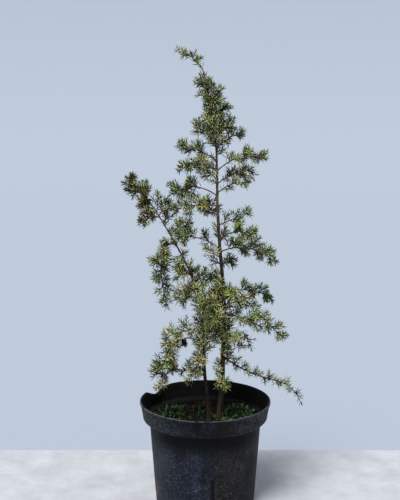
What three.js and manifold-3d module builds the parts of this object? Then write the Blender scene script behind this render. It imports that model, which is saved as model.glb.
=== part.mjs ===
// Potted columnar common juniper, a young plant of two thin stems in a round nursery pot.
// Millimetres, +Z up. The origin is the centre of the pot's flat underside, +X is the right-hand
// side of the plant's front view and +Y points to its back.

import * as THREE from 'three';
import { mergeVertices } from 'three/addons/utils/BufferGeometryUtils.js';
import Module from 'manifold-3d';

const wasm = await Module();
wasm.setup();

// Clearance between neighbouring solids
const GAP = 0.3;
const NEEDLE_GAP = 0.55;

// Pot: outer sizes of a 190 mm x 150 mm nursery pot
const POT_HEIGHT = 150;
const POT_WALL = 1.8;
const POT_FLOOR = 2.4;
const POT_SIDES = 36;
const BASE_RADIUS = 71.7;
const SHOULDER_RADIUS = 80.5;
const SHOULDER_HEIGHT = 123;
const BAND_FOOT_RADIUS = 90;
const BAND_FOOT_HEIGHT = 126;
const RIM_RADIUS = 94.5;
const BAND_ROLL = 3;
const LIP_HEIGHT = 3.5;
const LIP_DEPTH = 1.2;
const EDGE = 0.6;
const FOOT_EDGE = 1;
const SLOT_COUNT = 9;
const SLOT_WIDTH = 11;
const SLOT_HEIGHT = 5;
const SLOT_INNER_RADIUS = 63;
const SLOT_REACH = 16;
// Pressed-in stretch of the rim at the back left, steeper on its left side
const DENT = { azimuth: 150, leftSpread: 7, rightSpread: 15, depth: 8, drop: 5 };

// Soil: fills the pot to SOIL_TOP, with two low swellings of moss
const SOIL_TOP = 118;
const SOIL_RINGS = 7;
const SOIL_WAVE = 1.6;
const SOIL_WAVELENGTHS = [9, 11, 5];
const SOIL_RIPPLE = 0.6;
const SOIL_EDGE_DROP = 1.5;
const SOIL_CLEAR = 0.9;
const MOSS = [
  { x: -48, y: 26, height: 7, spread: 22 },
  { x: 52, y: 30, height: 8, spread: 20 },
];
const FOOT_FLAT = 17;
const FOOT_BLEND = 14;

// Stems: rows of height above the soil, X and Y, with a straight taper and a flare at the foot
const STEMS = {
  main: {
    rows: [
      [0, 19, 0], [45, 24, 2], [100, 25.5, 3], [160, 27, 2], [205, 25, 1], [260, 20, -1], [315, 17, 0],
      [370, 16, 2], [410, 14, 2], [445, 9, 1], [480, 2, 0], [502, -4, 0],
    ],
    foot: 3.9, tip: 0.65, flare: 1.4, sides: 7, step: 18,
  },
  second: {
    rows: [
      [0, 6, 0], [34, 3, 1], [75, -1, 2], [135, -2, 2], [180, -6, 1], [221, -22, 0], [259, -41, -1],
      [310, -71, 0],
    ],
    foot: 2.9, tip: 0.7, flare: 1, sides: 6, step: 15,
  },
};
const FLARE_HEIGHT = 7;
const FLARE_RINGS = [4, 9];

// Branches. Each rises from the limb that carries it, at a height above the soil or, on a bough, at
// its tip. It runs out by reach along azimuth (0 is +X, 90 is the back), climbs by rise and arches by
// bow. The first bare millimetres carry no needles; shoot is the length of its side shoots. A hook
// carries it further out before it turns back under itself, and a nod drops its very tip.
const BOUGH_LENGTH = 14;
const DEAD_TWIG = 'dead_twig';
const BRANCH_COLUMNS = [
  'name', 'carrier', 'height', 'azimuth', 'reach', 'rise', 'bow', 'bare', 'shoot', 'hook', 'nod',
];
const BRANCH_ROWS = [
  ['leader', 'main', 'tip', 190, 37, 24, 7, 2, 6],
  ['top_left', 'main', 458, 165, 14, 36, 0, 2, 12],
  ['top_right', 'main', 440, -30, 14, 40, 0, 2, 11],
  ['crown_back', 'main', 428, 35, 20, 25, 2, 2, 12],
  ['crown_right', 'main', 409, 20, 27, 22, 2, 3, 10],
  ['crown_left', 'main', 404, 200, 34, 25, 0, 4, 14],
  ['right_1', 'main', 394, 30, 48, 19, 6, 7, 9],
  ['left_1', 'main', 377, 155, 62, 19, 5, 9, 10],
  ['left_2', 'main', 362, 205, 58, 3, 9, 9, 11],
  ['right_2', 'main', 363, -25, 74, 17, 12, 15, 13],
  ['back_1', 'main', 350, 125, 52, 14, 5, 9, 14],
  ['right_3', 'main', 345, 35, 64, 15, 5, 10, 9],
  ['right_4', 'main', 332, -35, 52, 17, 6, 8, 9],
  ['left_3', 'main', 328, 170, 66, 0, 12, 24, 16],
  ['left_4', 'main', 314, 215, 74, -2, 5, 11, 13],
  ['front_1', 'main', 412, -120, 22, 26, 2, 3, 11],
  ['back_2', 'main', 298, 110, 62, 8, 6, 12, 15],
  ['right_5', 'main', 287, 25, 50, 16, 0, 4, 12],
  ['right_6', 'main', 266, -30, 54, 8, 10, 17, 11],
  ['left_5', 'main', 253, 200, 64, 17, 9, 38, 12],
  ['right_7', 'main', 249, 10, 85, -21, 14, 15, 13],
  ['back_3', 'main', 205, 112, 68, -12, 8, 18, 14],
  ['right_14', 'main', 229, 55, 30, -1, 4, 5, 10],
  ['right_8', 'main', 191, 25, 77, -14, 6, 24, 13],
  ['right_9', 'right_8', 'tip', -20, 72, -66, -5, 4, 15],
  ['right_10', 'main', 182, -35, 38, -6, 6, 3, 14],
  ['front_3', 'main', 172, -130, 48, 2, 8, 8, 13],
  ['right_11', 'main', 160, -20, 58, -16, 2, 6, 14],
  [DEAD_TWIG, 'main', 145, -3, 41, -42, 18, 44, 7],
  ['right_12', 'main', 130, -50, 42, -12, 4, 4, 12],
  ['right_13', 'main', 96, -15, 116, -24, -14, 18, 8, 0, 40],
  ['front_4', 'main', 60, -85, 30, -2, 3, 3, 10],
  ['second_top', 'second', 'tip', 168, 38, 40, 2, 1, 18],
  ['second_left_1', 'second', 298, 210, 33, -9, 6, 4, 11],
  ['second_right_1', 'second', 289, 20, 10, 32, 0, 1, 11],
  ['second_right_2', 'second', 274, -30, 32, 14, 4, 5, 11],
  ['second_droop', 'second', 262, 195, 10, -97, 24, 7, 15, 6.2],
  ['second_left_2', 'second', 217, 215, 30, -5, 3, 2, 12],
  ['second_back_1', 'second', 205, 115, 64, 8, 8, 15, 15],
  ['second_left_3', 'second', 183, 165, 36, -9, 3, 6, 11],
  ['second_front_1', 'second', 150, -60, 44, 6, 6, 6, 13],
  ['second_left_4', 'second', 135, 195, 60, -10, 5, 10, 13],
  ['second_back_2', 'second', 124, 80, 68, -2, 8, 12, 15],
  ['second_left_5', 'second', 115, 200, 68, -66, 36, 46, 15, 0.7],
  ['second_front_2', 'second', 92, -125, 38, -30, 8, 5, 11],
  ['second_left_6', 'second', 70, 155, 62, -6, 5, 10, 9],
];

const NOD_POWER = 8;
const BOUGH_SHARE = 0.42;
const BOUGH_RADIUS_MIN = 0.95;
const BOUGH_RADIUS_MAX = 1.7;
const TIP_BRANCH_SHARE = 1.1;
const TWIG_TIP_RADIUS = 0.55;
const BOUGH_SIDES = 5;
const BOUGH_STEP = 7;

// Shoots and needles
const SHOOT_SPACING = 9;
const SHOOTS_LEAST = 4;
const SHOOT_FIRST = 2;
const SHOOT_TURN = 137.5;
const SHOOT_INCLINE = 50;
const SHOOT_INCLINE_SPREAD = 18;
const SHOOT_LIFT = 0.12;
const SHOOT_RADIUS = 0.8;
const SHOOT_ROOT_SHARE = 0.3;
const SHOOT_SIZES = [0.75, 1.25];
const SWELL_FROM = 0.18;
const SWELL_TO = 0.9;
const SWELL_POWER = 0.8;
const STEM_WHORL = 9;
const SHOOT_WHORL = 6;
const NEEDLE_LENGTH = 11;
const TIP_NEEDLES = 6;
const STEM_TIP_SHARE = 0.6;
const SHOOT_TIP_SHARE = 0.7;
const NEEDLE_INCLINE = 56;
const NEEDLE_RADIUS = 0.5;
const LOWEST_NEEDLE = 14;

// Numbers of the seeded draws
const DRAW_TURN = 1;
const DRAW_INCLINE = 10;
const DRAW_SIZE = 40;

// Looks
const COLOURS = { pot: 0x23262b, soil: 0x2a241d, bark: 0x6d5a4b, needle: 0x76845c, dead: 0x5d3d27 };
const ROUGHNESS = { pot: 0.55, soil: 1, bark: 0.9, needle: 0.8 };

// Share of a curve looked ahead for its heading, and steps when a limb's flat end is set clear
const STEP_AHEAD = 0.02;
const CLEAR_STEP = 0.1;
const END_SIDES = 8;
const STEEP = 0.9;
const PARALLEL = 1e-9;
const SAME_POINT = 1e-4;

const UP = new THREE.Vector3(0, 0, 1);
const radians = THREE.MathUtils.degToRad;
const lerp = THREE.MathUtils.lerp;

// Seeded number from 0 to 1
function chance(seed, n) {
  const wave = Math.sin(seed * 12.9898 + n * 78.233) * 43758.5453;
  return wave - Math.floor(wave);
}

// Straight lengths of wood and needle already in place, kept in cubic cells for quick tests
const CELL = 20;
const cells = new Map();

function cellKey(point, dx = 0, dy = 0, dz = 0) {
  const cell = point.clone().divideScalar(CELL).floor();
  return [cell.x + dx, cell.y + dy, cell.z + dz].join();
}

function place(node, twig, a, b, radius) {
  const key = cellKey(a.clone().add(b).multiplyScalar(0.5));
  if (!cells.has(key)) cells.set(key, []);
  cells.get(key).push({ node, twig, a, b, radius });
}

function neighbours(point) {
  const found = [];
  for (let dx = -1; dx <= 1; dx += 1) {
    for (let dy = -1; dy <= 1; dy += 1) {
      for (let dz = -1; dz <= 1; dz += 1) {
        found.push(...(cells.get(cellKey(point, dx, dy, dz)) ?? []));
      }
    }
  }
  return found;
}

// Shortest distance between the straight lengths a-b and c-d
function lengthsApart(a, b, c, d) {
  const u = b.clone().sub(a);
  const v = d.clone().sub(c);
  const w = a.clone().sub(c);
  const uu = u.dot(u);
  const vv = v.dot(v);
  const uv = u.dot(v);
  const spread = uu * vv - uv * uv;
  let s = spread > PARALLEL ? THREE.MathUtils.clamp((uv * v.dot(w) - vv * u.dot(w)) / spread, 0, 1) : 0;
  const t = THREE.MathUtils.clamp((uv * s + v.dot(w)) / vv, 0, 1);
  s = THREE.MathUtils.clamp((uv * t - u.dot(w)) / uu, 0, 1);
  return w.addScaledVector(u, s).addScaledVector(v, -t).length();
}

// Clear of every other node, and for a needle (which names its twig) of the other twigs of its own
function isClear(node, twig, a, b, radius) {
  const middle = a.clone().add(b).multiplyScalar(0.5);
  return neighbours(middle).every((other) => {
    const own = other.node === node;
    if (own && (twig === null || other.twig === twig)) return true;
    return lengthsApart(a, b, other.a, other.b) > radius + other.radius + (own ? 0 : NEEDLE_GAP);
  });
}

// Smooth value of one column of a stem's rows at a height
function along(rows, height, column) {
  let i = 0;
  while (i < rows.length - 2 && rows[i + 1][0] < height) i += 1;
  const slope = (k) => {
    const low = rows[Math.max(k - 1, 0)];
    const high = rows[Math.min(k + 1, rows.length - 1)];
    return (high[column] - low[column]) / (high[0] - low[0]);
  };
  const [from, to] = [rows[i], rows[i + 1]];
  const span = to[0] - from[0];
  const t = (height - from[0]) / span;
  return (1 + 2 * t) * (1 - t) ** 2 * from[column] + t * (1 - t) ** 2 * span * slope(i)
    + t * t * (3 - 2 * t) * to[column] - t * t * (1 - t) * span * slope(i + 1);
}

function stemTop(stem) {
  return stem.rows.at(-1)[0];
}

function stemPoint(stem, height) {
  return new THREE.Vector3(along(stem.rows, height, 1), along(stem.rows, height, 2), height);
}

function stemRadius(stem, height) {
  return lerp(stem.foot, stem.tip, height / stemTop(stem)) + stem.flare * Math.exp(-height / FLARE_HEIGHT);
}

// An arching branch: out along its azimuth, up by its rise, with a bow
class BranchCurve extends THREE.Curve {
  constructor(root, { azimuth, reach, rise, bow, hook = 0, nod = 0 }) {
    super();
    this.out = new THREE.Vector3(reach, 0, 0).applyAxisAngle(UP, radians(azimuth));
    Object.assign(this, { root, rise, bow, hook, nod });
  }

  getPoint(t) {
    return this.root.clone().addScaledVector(this.out, t + this.hook * t * (1 - t))
      .addScaledVector(UP, this.rise * t + 4 * this.bow * t * (1 - t) - this.nod * t ** NOD_POWER);
  }
}

// A side shoot: straight out, with its tip lifted
class ShootCurve extends THREE.Curve {
  constructor(root, direction, length) {
    super();
    Object.assign(this, { root, direction, length });
  }

  getPoint(t) {
    return this.root.clone().addScaledVector(this.direction, this.length * t)
      .addScaledVector(UP, SHOOT_LIFT * this.length * t * t);
  }
}

// Frames carried along a row of points without twist
function framesAlong(points) {
  const frames = [];
  let side = null;
  points.forEach((point, i) => {
    const before = points[Math.max(i - 1, 0)];
    const after = points[Math.min(i + 1, points.length - 1)];
    const forward = after.clone().sub(before).normalize();
    if (!side) side = Math.abs(forward.z) > STEEP ? new THREE.Vector3(1, 0, 0) : UP.clone();
    side = side.clone().addScaledVector(forward, -side.dot(forward)).normalize();
    frames.push({ point, forward, side, cross: forward.clone().cross(side) });
  });
  return frames;
}

function aroundFrame(frame, angle) {
  return frame.side.clone().multiplyScalar(Math.cos(angle)).addScaledVector(frame.cross, Math.sin(angle));
}

function geometryFrom(vertices, triangles) {
  const geometry = new THREE.BufferGeometry();
  const coordinates = vertices.flatMap((vertex) => vertex.toArray());
  geometry.setAttribute('position', new THREE.Float32BufferAttribute(coordinates, 3));
  geometry.setIndex(triangles.flat());
  return geometry;
}

// A bare tapering limb: rings of corners along its points, closed by a flat cut at each end
function limbGeometry(points, radii, sides, levelFoot = false) {
  const frames = framesAlong(points);
  if (levelFoot) {
    const side = new THREE.Vector3(1, 0, 0);
    Object.assign(frames[0], { forward: UP, side, cross: UP.clone().cross(side) });
  }
  const vertices = frames.flatMap((frame, i) => Array.from({ length: sides }, (_, k) => frame.point.clone()
    .addScaledVector(aroundFrame(frame, (2 * Math.PI * k) / sides), radii[i])));
  const triangles = [];
  for (let i = 0; i < frames.length - 1; i += 1) {
    for (let k = 0; k < sides; k += 1) {
      const next = (k + 1) % sides;
      const [a, b, c, d] = [i * sides + k, i * sides + next, (i + 1) * sides + next, (i + 1) * sides + k];
      triangles.push([a, b, c], [a, c, d]);
    }
  }
  const top = (frames.length - 1) * sides;
  for (let k = 1; k < sides - 1; k += 1) {
    triangles.push([0, k + 1, k], [top, top + k, top + k + 1]);
  }
  return geometryFrom(vertices, triangles);
}

// A three-sided twig whose rings turn by a sixth, so that every whorl of three needles stands between
// the needles of the last. A needle is drawn out of its own facet, and is left out where it would
// reach another node, the soil or the bare part of the twig.
function twigGeometry(node, twig, points, radii, bareSegments, tipLength) {
  const frames = framesAlong(points);
  const turn = (i, k) => (Math.PI / 3) * (i + 2 * k);
  const vertices = frames.flatMap((frame, i) => [0, 1, 2]
    .map((k) => frame.point.clone().addScaledVector(aroundFrame(frame, turn(i, k)), radii[i])));
  const triangles = [[0, 2, 1]];
  for (let i = 0; i < frames.length - 1; i += 1) {
    for (let k = 0; k < 3; k += 1) {
      const next = (k + 1) % 3;
      const facet = [3 * i + k, 3 * i + next, 3 * (i + 1) + k];
      triangles.push([3 * i + next, 3 * (i + 1) + next, 3 * (i + 1) + k]);
      const corners = facet.map((index) => vertices[index]);
      const tip = i < bareSegments ? null : needleTip(node, twig, frames[i], turn(i, k + 0.5), corners);
      if (tip) {
        vertices.push(tip);
        const last = vertices.length - 1;
        triangles.push([facet[0], facet[1], last], [facet[1], facet[2], last], [facet[2], facet[0], last]);
      } else {
        triangles.push(facet);
      }
    }
  }
  const end = 3 * (frames.length - 1);
  const lastFrame = frames.at(-1);
  const apex = lastFrame.point.clone().addScaledVector(lastFrame.forward, tipLength);
  vertices.push(apex);
  place(node, twig, lastFrame.point, apex, radii.at(-1));
  for (let k = 0; k < 3; k += 1) triangles.push([end + k, end + ((k + 1) % 3), vertices.length - 1]);
  return geometryFrom(vertices, triangles);
}

function needleTip(node, twig, frame, angle, corners) {
  const lean = radians(NEEDLE_INCLINE);
  const heading = aroundFrame(frame, angle).multiplyScalar(Math.sin(lean))
    .addScaledVector(frame.forward, Math.cos(lean));
  const centre = corners[0].clone().add(corners[1]).add(corners[2]).divideScalar(3);
  const tip = centre.clone().addScaledVector(heading, NEEDLE_LENGTH);
  if (tip.z < LOWEST_NEEDLE) return null;
  const edges = [centre, ...corners];
  if (!edges.every((edge) => isClear(node, twig, edge, tip, NEEDLE_RADIUS))) return null;
  edges.forEach((edge) => place(node, twig, edge, tip, NEEDLE_RADIUS));
  return tip;
}

// Straight lengths of a limb, each with its greater radius
function segmentsOf(points, radii) {
  return points.slice(1).map((point, i) => [points[i], point, Math.max(radii[i], radii[i + 1])]);
}

// Wood, placed for the clearance tests
function placeAlong(node, twig, points, radii) {
  segmentsOf(points, radii).forEach(([a, b, radius]) => place(node, twig, a, b, radius));
}

function isClearAlong(node, points, radius) {
  return points.slice(1).every((point, i) => isClear(node, null, points[i], point, radius));
}

// First distance along a curve at which a limb's flat end stands clear of the limb that carries it
function clearStart(curve, length, radius, carrier) {
  for (let t = 0; t < 1; t += CLEAR_STEP / length) {
    const frame = framesAlong([curve.getPoint(t), curve.getPoint(t + STEP_AHEAD)])[0];
    const angles = Array.from({ length: END_SIDES }, (_, k) => (2 * Math.PI * k) / END_SIDES);
    const clear = angles.every((angle) => {
      const edge = frame.point.clone().addScaledVector(aroundFrame(frame, angle), radius);
      const ahead = edge.clone().addScaledVector(frame.forward, CLEAR_STEP);
      return carrier.every(([a, b, r]) => lengthsApart(edge, ahead, a, b) > r + GAP);
    });
    if (clear) return t;
  }
  throw new Error('a branch never leaves the limb that carries it');
}

function spread(curve, from, to, count) {
  return Array.from({ length: count + 1 }, (_, i) => curve.getPoint(lerp(from, to, i / count)));
}

// Solids from geometry, joined and cut
function solidFrom(geometry) {
  const plain = new THREE.BufferGeometry();
  plain.setAttribute('position', geometry.getAttribute('position'));
  if (geometry.index) plain.setIndex(geometry.index);
  const merged = mergeVertices(plain, SAME_POINT);
  const index = merged.index.array;
  const kept = [];
  for (let i = 0; i < index.length; i += 3) {
    const [a, b, c] = [index[i], index[i + 1], index[i + 2]];
    if (a !== b && b !== c && c !== a) kept.push(a, b, c);
  }
  return new wasm.Manifold(new wasm.Mesh({
    numProp: 3,
    vertProperties: merged.getAttribute('position').array,
    triVerts: new Uint32Array(kept),
  }));
}

// The largest piece of a joined solid: a loose scrap, or the skin of a sealed hollow, is dropped
function geometryOf(solid) {
  const body = solid.decompose().sort((a, b) => b.volume() - a.volume())[0];
  const mesh = body.getMesh();
  const geometry = new THREE.BufferGeometry();
  geometry.setAttribute('position', new THREE.Float32BufferAttribute(mesh.vertProperties, 3));
  geometry.setIndex([...mesh.triVerts]);
  return geometry;
}

function material(colour, roughness) {
  return new THREE.MeshStandardMaterial({ color: colour, roughness, metalness: 0, flatShading: true });
}

function addMesh(group, name, geometry, colour, roughness) {
  const mesh = new THREE.Mesh(geometry, material(colour, roughness));
  mesh.name = name;
  group.add(mesh);
}

function lathe(profile, sides) {
  const outline = profile.map(([r, z]) => new THREE.Vector2(r, z));
  return new THREE.LatheGeometry(outline, sides).rotateX(Math.PI / 2);
}

// Presses the band in and down where the rim is dented
function dented(geometry) {
  const position = geometry.getAttribute('position');
  for (let i = 0; i < position.count; i += 1) {
    const [x, y, z] = [position.getX(i), position.getY(i), position.getZ(i)];
    const away = THREE.MathUtils.radToDeg(Math.atan2(y, x)) - DENT.azimuth;
    const width = away > 0 ? DENT.leftSpread : DENT.rightSpread;
    const height = THREE.MathUtils.smoothstep(z, BAND_FOOT_HEIGHT, POT_HEIGHT);
    const share = height * Math.exp(-((away / width) ** 2));
    const scale = 1 - (share * DENT.depth) / RIM_RADIUS;
    position.setXYZ(i, x * scale, y * scale, z - share * DENT.drop);
  }
  return geometry;
}

// Pot: tapered wall, wide band with a rolled foot, small lip, flat floor and slots at the bottom edge
function potGeometry() {
  const inner = (radius) => radius - POT_WALL;
  const profile = [
    [0, 0], [BASE_RADIUS - FOOT_EDGE, 0], [BASE_RADIUS, FOOT_EDGE], [SHOULDER_RADIUS, SHOULDER_HEIGHT],
    [BAND_FOOT_RADIUS - BAND_ROLL, SHOULDER_HEIGHT + EDGE],
    [BAND_FOOT_RADIUS - EDGE, BAND_FOOT_HEIGHT - POT_WALL], [BAND_FOOT_RADIUS, BAND_FOOT_HEIGHT],
    [RIM_RADIUS - LIP_DEPTH, POT_HEIGHT - LIP_HEIGHT], [RIM_RADIUS, POT_HEIGHT - LIP_HEIGHT + EDGE],
    [RIM_RADIUS, POT_HEIGHT - EDGE], [RIM_RADIUS - EDGE, POT_HEIGHT],
    [inner(RIM_RADIUS - LIP_DEPTH), POT_HEIGHT],
    [inner(BAND_FOOT_RADIUS), BAND_FOOT_HEIGHT + POT_WALL],
    [inner(SHOULDER_RADIUS) + FOOT_EDGE, SHOULDER_HEIGHT + POT_WALL + EDGE],
    [inner(SHOULDER_RADIUS), SHOULDER_HEIGHT],
    [inner(BASE_RADIUS), POT_FLOOR], [0, POT_FLOOR],
  ];
  let pot = solidFrom(dented(lathe(profile, POT_SIDES)));
  for (let i = 0; i < SLOT_COUNT; i += 1) {
    const slot = new THREE.BoxGeometry(SLOT_REACH, SLOT_WIDTH, 2 * SLOT_HEIGHT);
    slot.translate(SLOT_INNER_RADIUS + SLOT_REACH / 2, 0, 0);
    slot.rotateZ((2 * Math.PI * (i + 0.5)) / SLOT_COUNT);
    pot = pot.subtract(solidFrom(slot));
  }
  return geometryOf(pot);
}

// Height of the soil, in pot coordinates: level round each stem's foot
function soilHeight(x, y) {
  const [long, wide, short] = SOIL_WAVELENGTHS;
  const ripple = SOIL_RIPPLE * Math.sin((x - y) / short);
  const wave = SOIL_WAVE * (Math.sin(x / long + 1) * Math.cos(y / wide) + ripple);
  const moss = MOSS.reduce((sum, swelling) => {
    const away = Math.hypot(x - swelling.x, y - swelling.y) / swelling.spread;
    return sum + swelling.height * Math.exp(-away * away);
  }, 0);
  const level = Object.values(STEMS).reduce((least, stem) => {
    const away = Math.hypot(x - stem.rows[0][1], y - stem.rows[0][2]);
    return Math.min(least, THREE.MathUtils.smoothstep(away, FOOT_FLAT, FOOT_FLAT + FOOT_BLEND));
  }, 1);
  return SOIL_TOP + level * (wave + moss);
}

function soilGeometry() {
  const wallAt = (z) => lerp(BASE_RADIUS, SHOULDER_RADIUS, z / SHOULDER_HEIGHT) - POT_WALL - SOIL_CLEAR;
  const edge = SOIL_TOP - SOIL_EDGE_DROP;
  const profile = [[0, POT_FLOOR + GAP], [wallAt(0), POT_FLOOR + GAP], [wallAt(edge), edge]];
  for (let i = 1; i <= SOIL_RINGS; i += 1) {
    profile.push([wallAt(edge) * (1 - i / SOIL_RINGS), SOIL_TOP]);
  }
  const geometry = lathe(profile, POT_SIDES);
  const position = geometry.getAttribute('position');
  for (let i = 0; i < position.count; i += 1) {
    if (position.getZ(i) > edge + GAP) position.setZ(i, soilHeight(position.getX(i), position.getY(i)));
  }
  return geometryOf(solidFrom(geometry));
}

// Stems
const limbs = {};

function addStem(group, name, stem) {
  const top = stemTop(stem);
  const count = Math.round(top / stem.step);
  const upper = Array.from({ length: count }, (_, i) => ((i + 1) * top) / count);
  const heights = [GAP, ...FLARE_RINGS, ...upper];
  const points = heights.map((height) => stemPoint(stem, height));
  const radii = heights.map((height) => stemRadius(stem, height));
  const node = `stem_${name}`;
  addMesh(group, node, limbGeometry(points, radii, stem.sides, true), COLOURS.bark, ROUGHNESS.bark);
  placeAlong(node, 0, points, radii);
  limbs[name] = {
    segments: segmentsOf(points, radii),
    tip: points.at(-1),
    heading: points.at(-1).clone().sub(points.at(-2)).normalize(),
    tipRadius: stem.tip,
  };
}

// Where a branch starts, and how thick it is there
function rootOf(branch) {
  const carrier = limbs[branch.carrier];
  if (branch.height === 'tip') {
    const point = carrier.tip.clone().addScaledVector(carrier.heading, GAP);
    return { point, radius: carrier.tipRadius * TIP_BRANCH_SHARE };
  }
  const stem = STEMS[branch.carrier];
  const share = stemRadius(stem, branch.height) * BOUGH_SHARE;
  const radius = THREE.MathUtils.clamp(share, BOUGH_RADIUS_MIN, BOUGH_RADIUS_MAX);
  return { point: stemPoint(stem, branch.height), radius };
}

// The bough of a branch, from its stem to where its needles begin
function addBough(group, branch, curve, root) {
  const length = curve.getLength();
  const node = `bough_${branch.name}`;
  const from = clearStart(curve, length, root.radius, limbs[branch.carrier].segments);
  const to = Math.min(branch.bare / length, 1);
  const count = Math.max(3, Math.round(((to - from) * length) / BOUGH_STEP));
  const points = spread(curve, from, to, count);
  const radii = points.map((_, i) => lerp(root.radius, TWIG_TIP_RADIUS, lerp(from, to, i / count)));
  addMesh(group, node, limbGeometry(points, radii, BOUGH_SIDES), COLOURS.bark, ROUGHNESS.bark);
  placeAlong(node, 0, points, radii);
  limbs[branch.name] = {
    segments: segmentsOf(points, radii),
    tip: points.at(-1),
    heading: points.at(-1).clone().sub(points.at(-2)).normalize(),
    tipRadius: radii.at(-1),
  };
  return to;
}

// Shoots are longest before the middle of their stem and short at its tip
function swell(u) {
  return Math.sin(Math.PI * lerp(SWELL_FROM, SWELL_TO, u)) ** SWELL_POWER;
}

// The side shoots of a mass: golden-angle turns along its own stem
function shootCurves(branch, seed, curve, from, bare, radius) {
  const length = curve.getLength();
  const start = Math.max(bare / length, from) + SHOOT_FIRST / length;
  const end = 1 - TIP_NEEDLES / length;
  const count = Math.max(SHOOTS_LEAST, Math.round(((end - start) * length) / SHOOT_SPACING));
  return Array.from({ length: count }, (_, k) => {
    const u = (k + SHOOT_ROOT_SHARE) / count;
    const t = lerp(start, end, u);
    const frame = framesAlong([curve.getPoint(t), curve.getPoint(t + STEP_AHEAD)])[0];
    const turn = radians(SHOOT_TURN * k + 360 * chance(seed, DRAW_TURN));
    const incline = radians(SHOOT_INCLINE + SHOOT_INCLINE_SPREAD * (chance(seed, DRAW_INCLINE + k) - 0.5));
    const direction = aroundFrame(frame, turn).multiplyScalar(Math.sin(incline))
      .addScaledVector(frame.forward, Math.cos(incline));
    const size = branch.shoot * swell(u) * lerp(...SHOOT_SIZES, chance(seed, DRAW_SIZE + k));
    return new ShootCurve(frame.point, direction, size + radius);
  });
}

// The stem of a mass, laid before any needle, so that needles give way to wood. The result dresses it:
// needles on the stem, and the side shoots fused to it.
function layMass(group, branch, seed, curve, from, bare, root) {
  const node = branch.name === DEAD_TWIG ? DEAD_TWIG : `foliage_${branch.name}`;
  const length = curve.getLength();
  const start = from ?? clearStart(curve, length, root.radius, limbs[branch.carrier].segments);
  const end = 1 - TIP_NEEDLES / length;
  const count = Math.max(2, Math.round(((end - start) * length) / STEM_WHORL));
  const points = spread(curve, start, end, count);
  const radii = points.map((_, i) => lerp(root.radius, TWIG_TIP_RADIUS, lerp(start, 1, i / count)));
  const bareSegments = Math.round(Math.max(0, bare / length - start) / ((end - start) / count));
  placeAlong(node, 0, points, radii);
  limbs[branch.name]?.segments.push(...segmentsOf(points, radii));
  return () => {
    const tipLength = NEEDLE_LENGTH * STEM_TIP_SHARE;
    let solid = solidFrom(twigGeometry(node, 0, points, radii, bareSegments, tipLength));
    shootCurves(branch, seed, curve, start, bare, root.radius).forEach((shoot, k) => {
      const twig = shootGeometry(node, k + 1, shoot);
      if (twig) solid = solid.add(solidFrom(twig));
    });
    const colour = branch.name === DEAD_TWIG ? COLOURS.dead : COLOURS.needle;
    addMesh(group, node, geometryOf(solid), colour, ROUGHNESS.needle);
  };
}

// A side shoot with its needles, or nothing where its wood would touch another node
function shootGeometry(node, twig, shoot) {
  const whorls = Math.max(1, Math.round(shoot.length / SHOOT_WHORL));
  const points = spread(shoot, 0, 1, whorls);
  const outer = [shoot.getPoint(SHOOT_ROOT_SHARE), ...points.slice(1)];
  if (!isClearAlong(node, outer, SHOOT_RADIUS)) return null;
  const radii = points.map((_, i) => lerp(SHOOT_RADIUS, TWIG_TIP_RADIUS, i / whorls));
  placeAlong(node, twig, points, radii);
  return twigGeometry(node, twig, points, radii, 0, NEEDLE_LENGTH * SHOOT_TIP_SHARE);
}

// All wood is laid first, then each mass is dressed with its needles and side shoots
function addBranches(group) {
  const masses = BRANCH_ROWS.map((row, i) => {
    const branch = Object.fromEntries(row.map((value, column) => [BRANCH_COLUMNS[column], value]));
    const root = rootOf(branch);
    const curve = new BranchCurve(root.point, branch);
    const seed = i + 1;
    if (branch.bare >= BOUGH_LENGTH && branch.name !== DEAD_TWIG) {
      const to = addBough(group, branch, curve, root);
      return layMass(group, branch, seed, curve, to + GAP / curve.getLength(), 0, root);
    }
    const from = branch.height === 'tip' && STEMS[branch.carrier] ? 0 : null;
    return layMass(group, branch, seed, curve, from, branch.bare, root);
  });
  masses.forEach((dress) => dress());
}

const juniper = new THREE.Group();
addMesh(juniper, 'pot', potGeometry(), COLOURS.pot, ROUGHNESS.pot);
addMesh(juniper, 'soil', soilGeometry(), COLOURS.soil, ROUGHNESS.soil);

const plant = new THREE.Group();
plant.position.z = SOIL_TOP;
juniper.add(plant);
Object.entries(STEMS).forEach(([name, stem]) => addStem(plant, name, stem));
addBranches(plant);

export default juniper;
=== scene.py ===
import math

import bpy
import numpy as np
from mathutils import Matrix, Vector, noise


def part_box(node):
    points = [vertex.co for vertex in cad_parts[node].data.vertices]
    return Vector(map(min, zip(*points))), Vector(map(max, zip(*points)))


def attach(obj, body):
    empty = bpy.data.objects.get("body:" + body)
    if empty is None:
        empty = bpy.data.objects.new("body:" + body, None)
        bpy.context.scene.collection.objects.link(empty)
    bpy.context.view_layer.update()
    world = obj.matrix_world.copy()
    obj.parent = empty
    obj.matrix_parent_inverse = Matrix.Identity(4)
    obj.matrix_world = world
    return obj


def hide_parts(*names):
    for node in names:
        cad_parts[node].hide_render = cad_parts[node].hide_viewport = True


# Looks of a potted columnar juniper. Sizes are in millimetres and are turned into metres where a
# mesh is made. +X is the right-hand side of the front view and +Y points to the back.

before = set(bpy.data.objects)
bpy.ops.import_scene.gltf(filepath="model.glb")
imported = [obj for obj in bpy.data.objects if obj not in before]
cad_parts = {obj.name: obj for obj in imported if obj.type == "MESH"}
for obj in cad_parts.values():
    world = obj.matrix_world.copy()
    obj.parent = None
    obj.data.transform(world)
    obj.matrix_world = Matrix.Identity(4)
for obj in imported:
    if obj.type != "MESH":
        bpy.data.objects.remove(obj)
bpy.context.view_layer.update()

MM = 0.001
UP = np.array([0.0, 0.0, 1.0])
ACROSS = np.array([1.0, 0.0, 0.0])
SOIL_SEED, MOSS_SEED, FOLIAGE_SEED = 11, 23, 5
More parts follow.
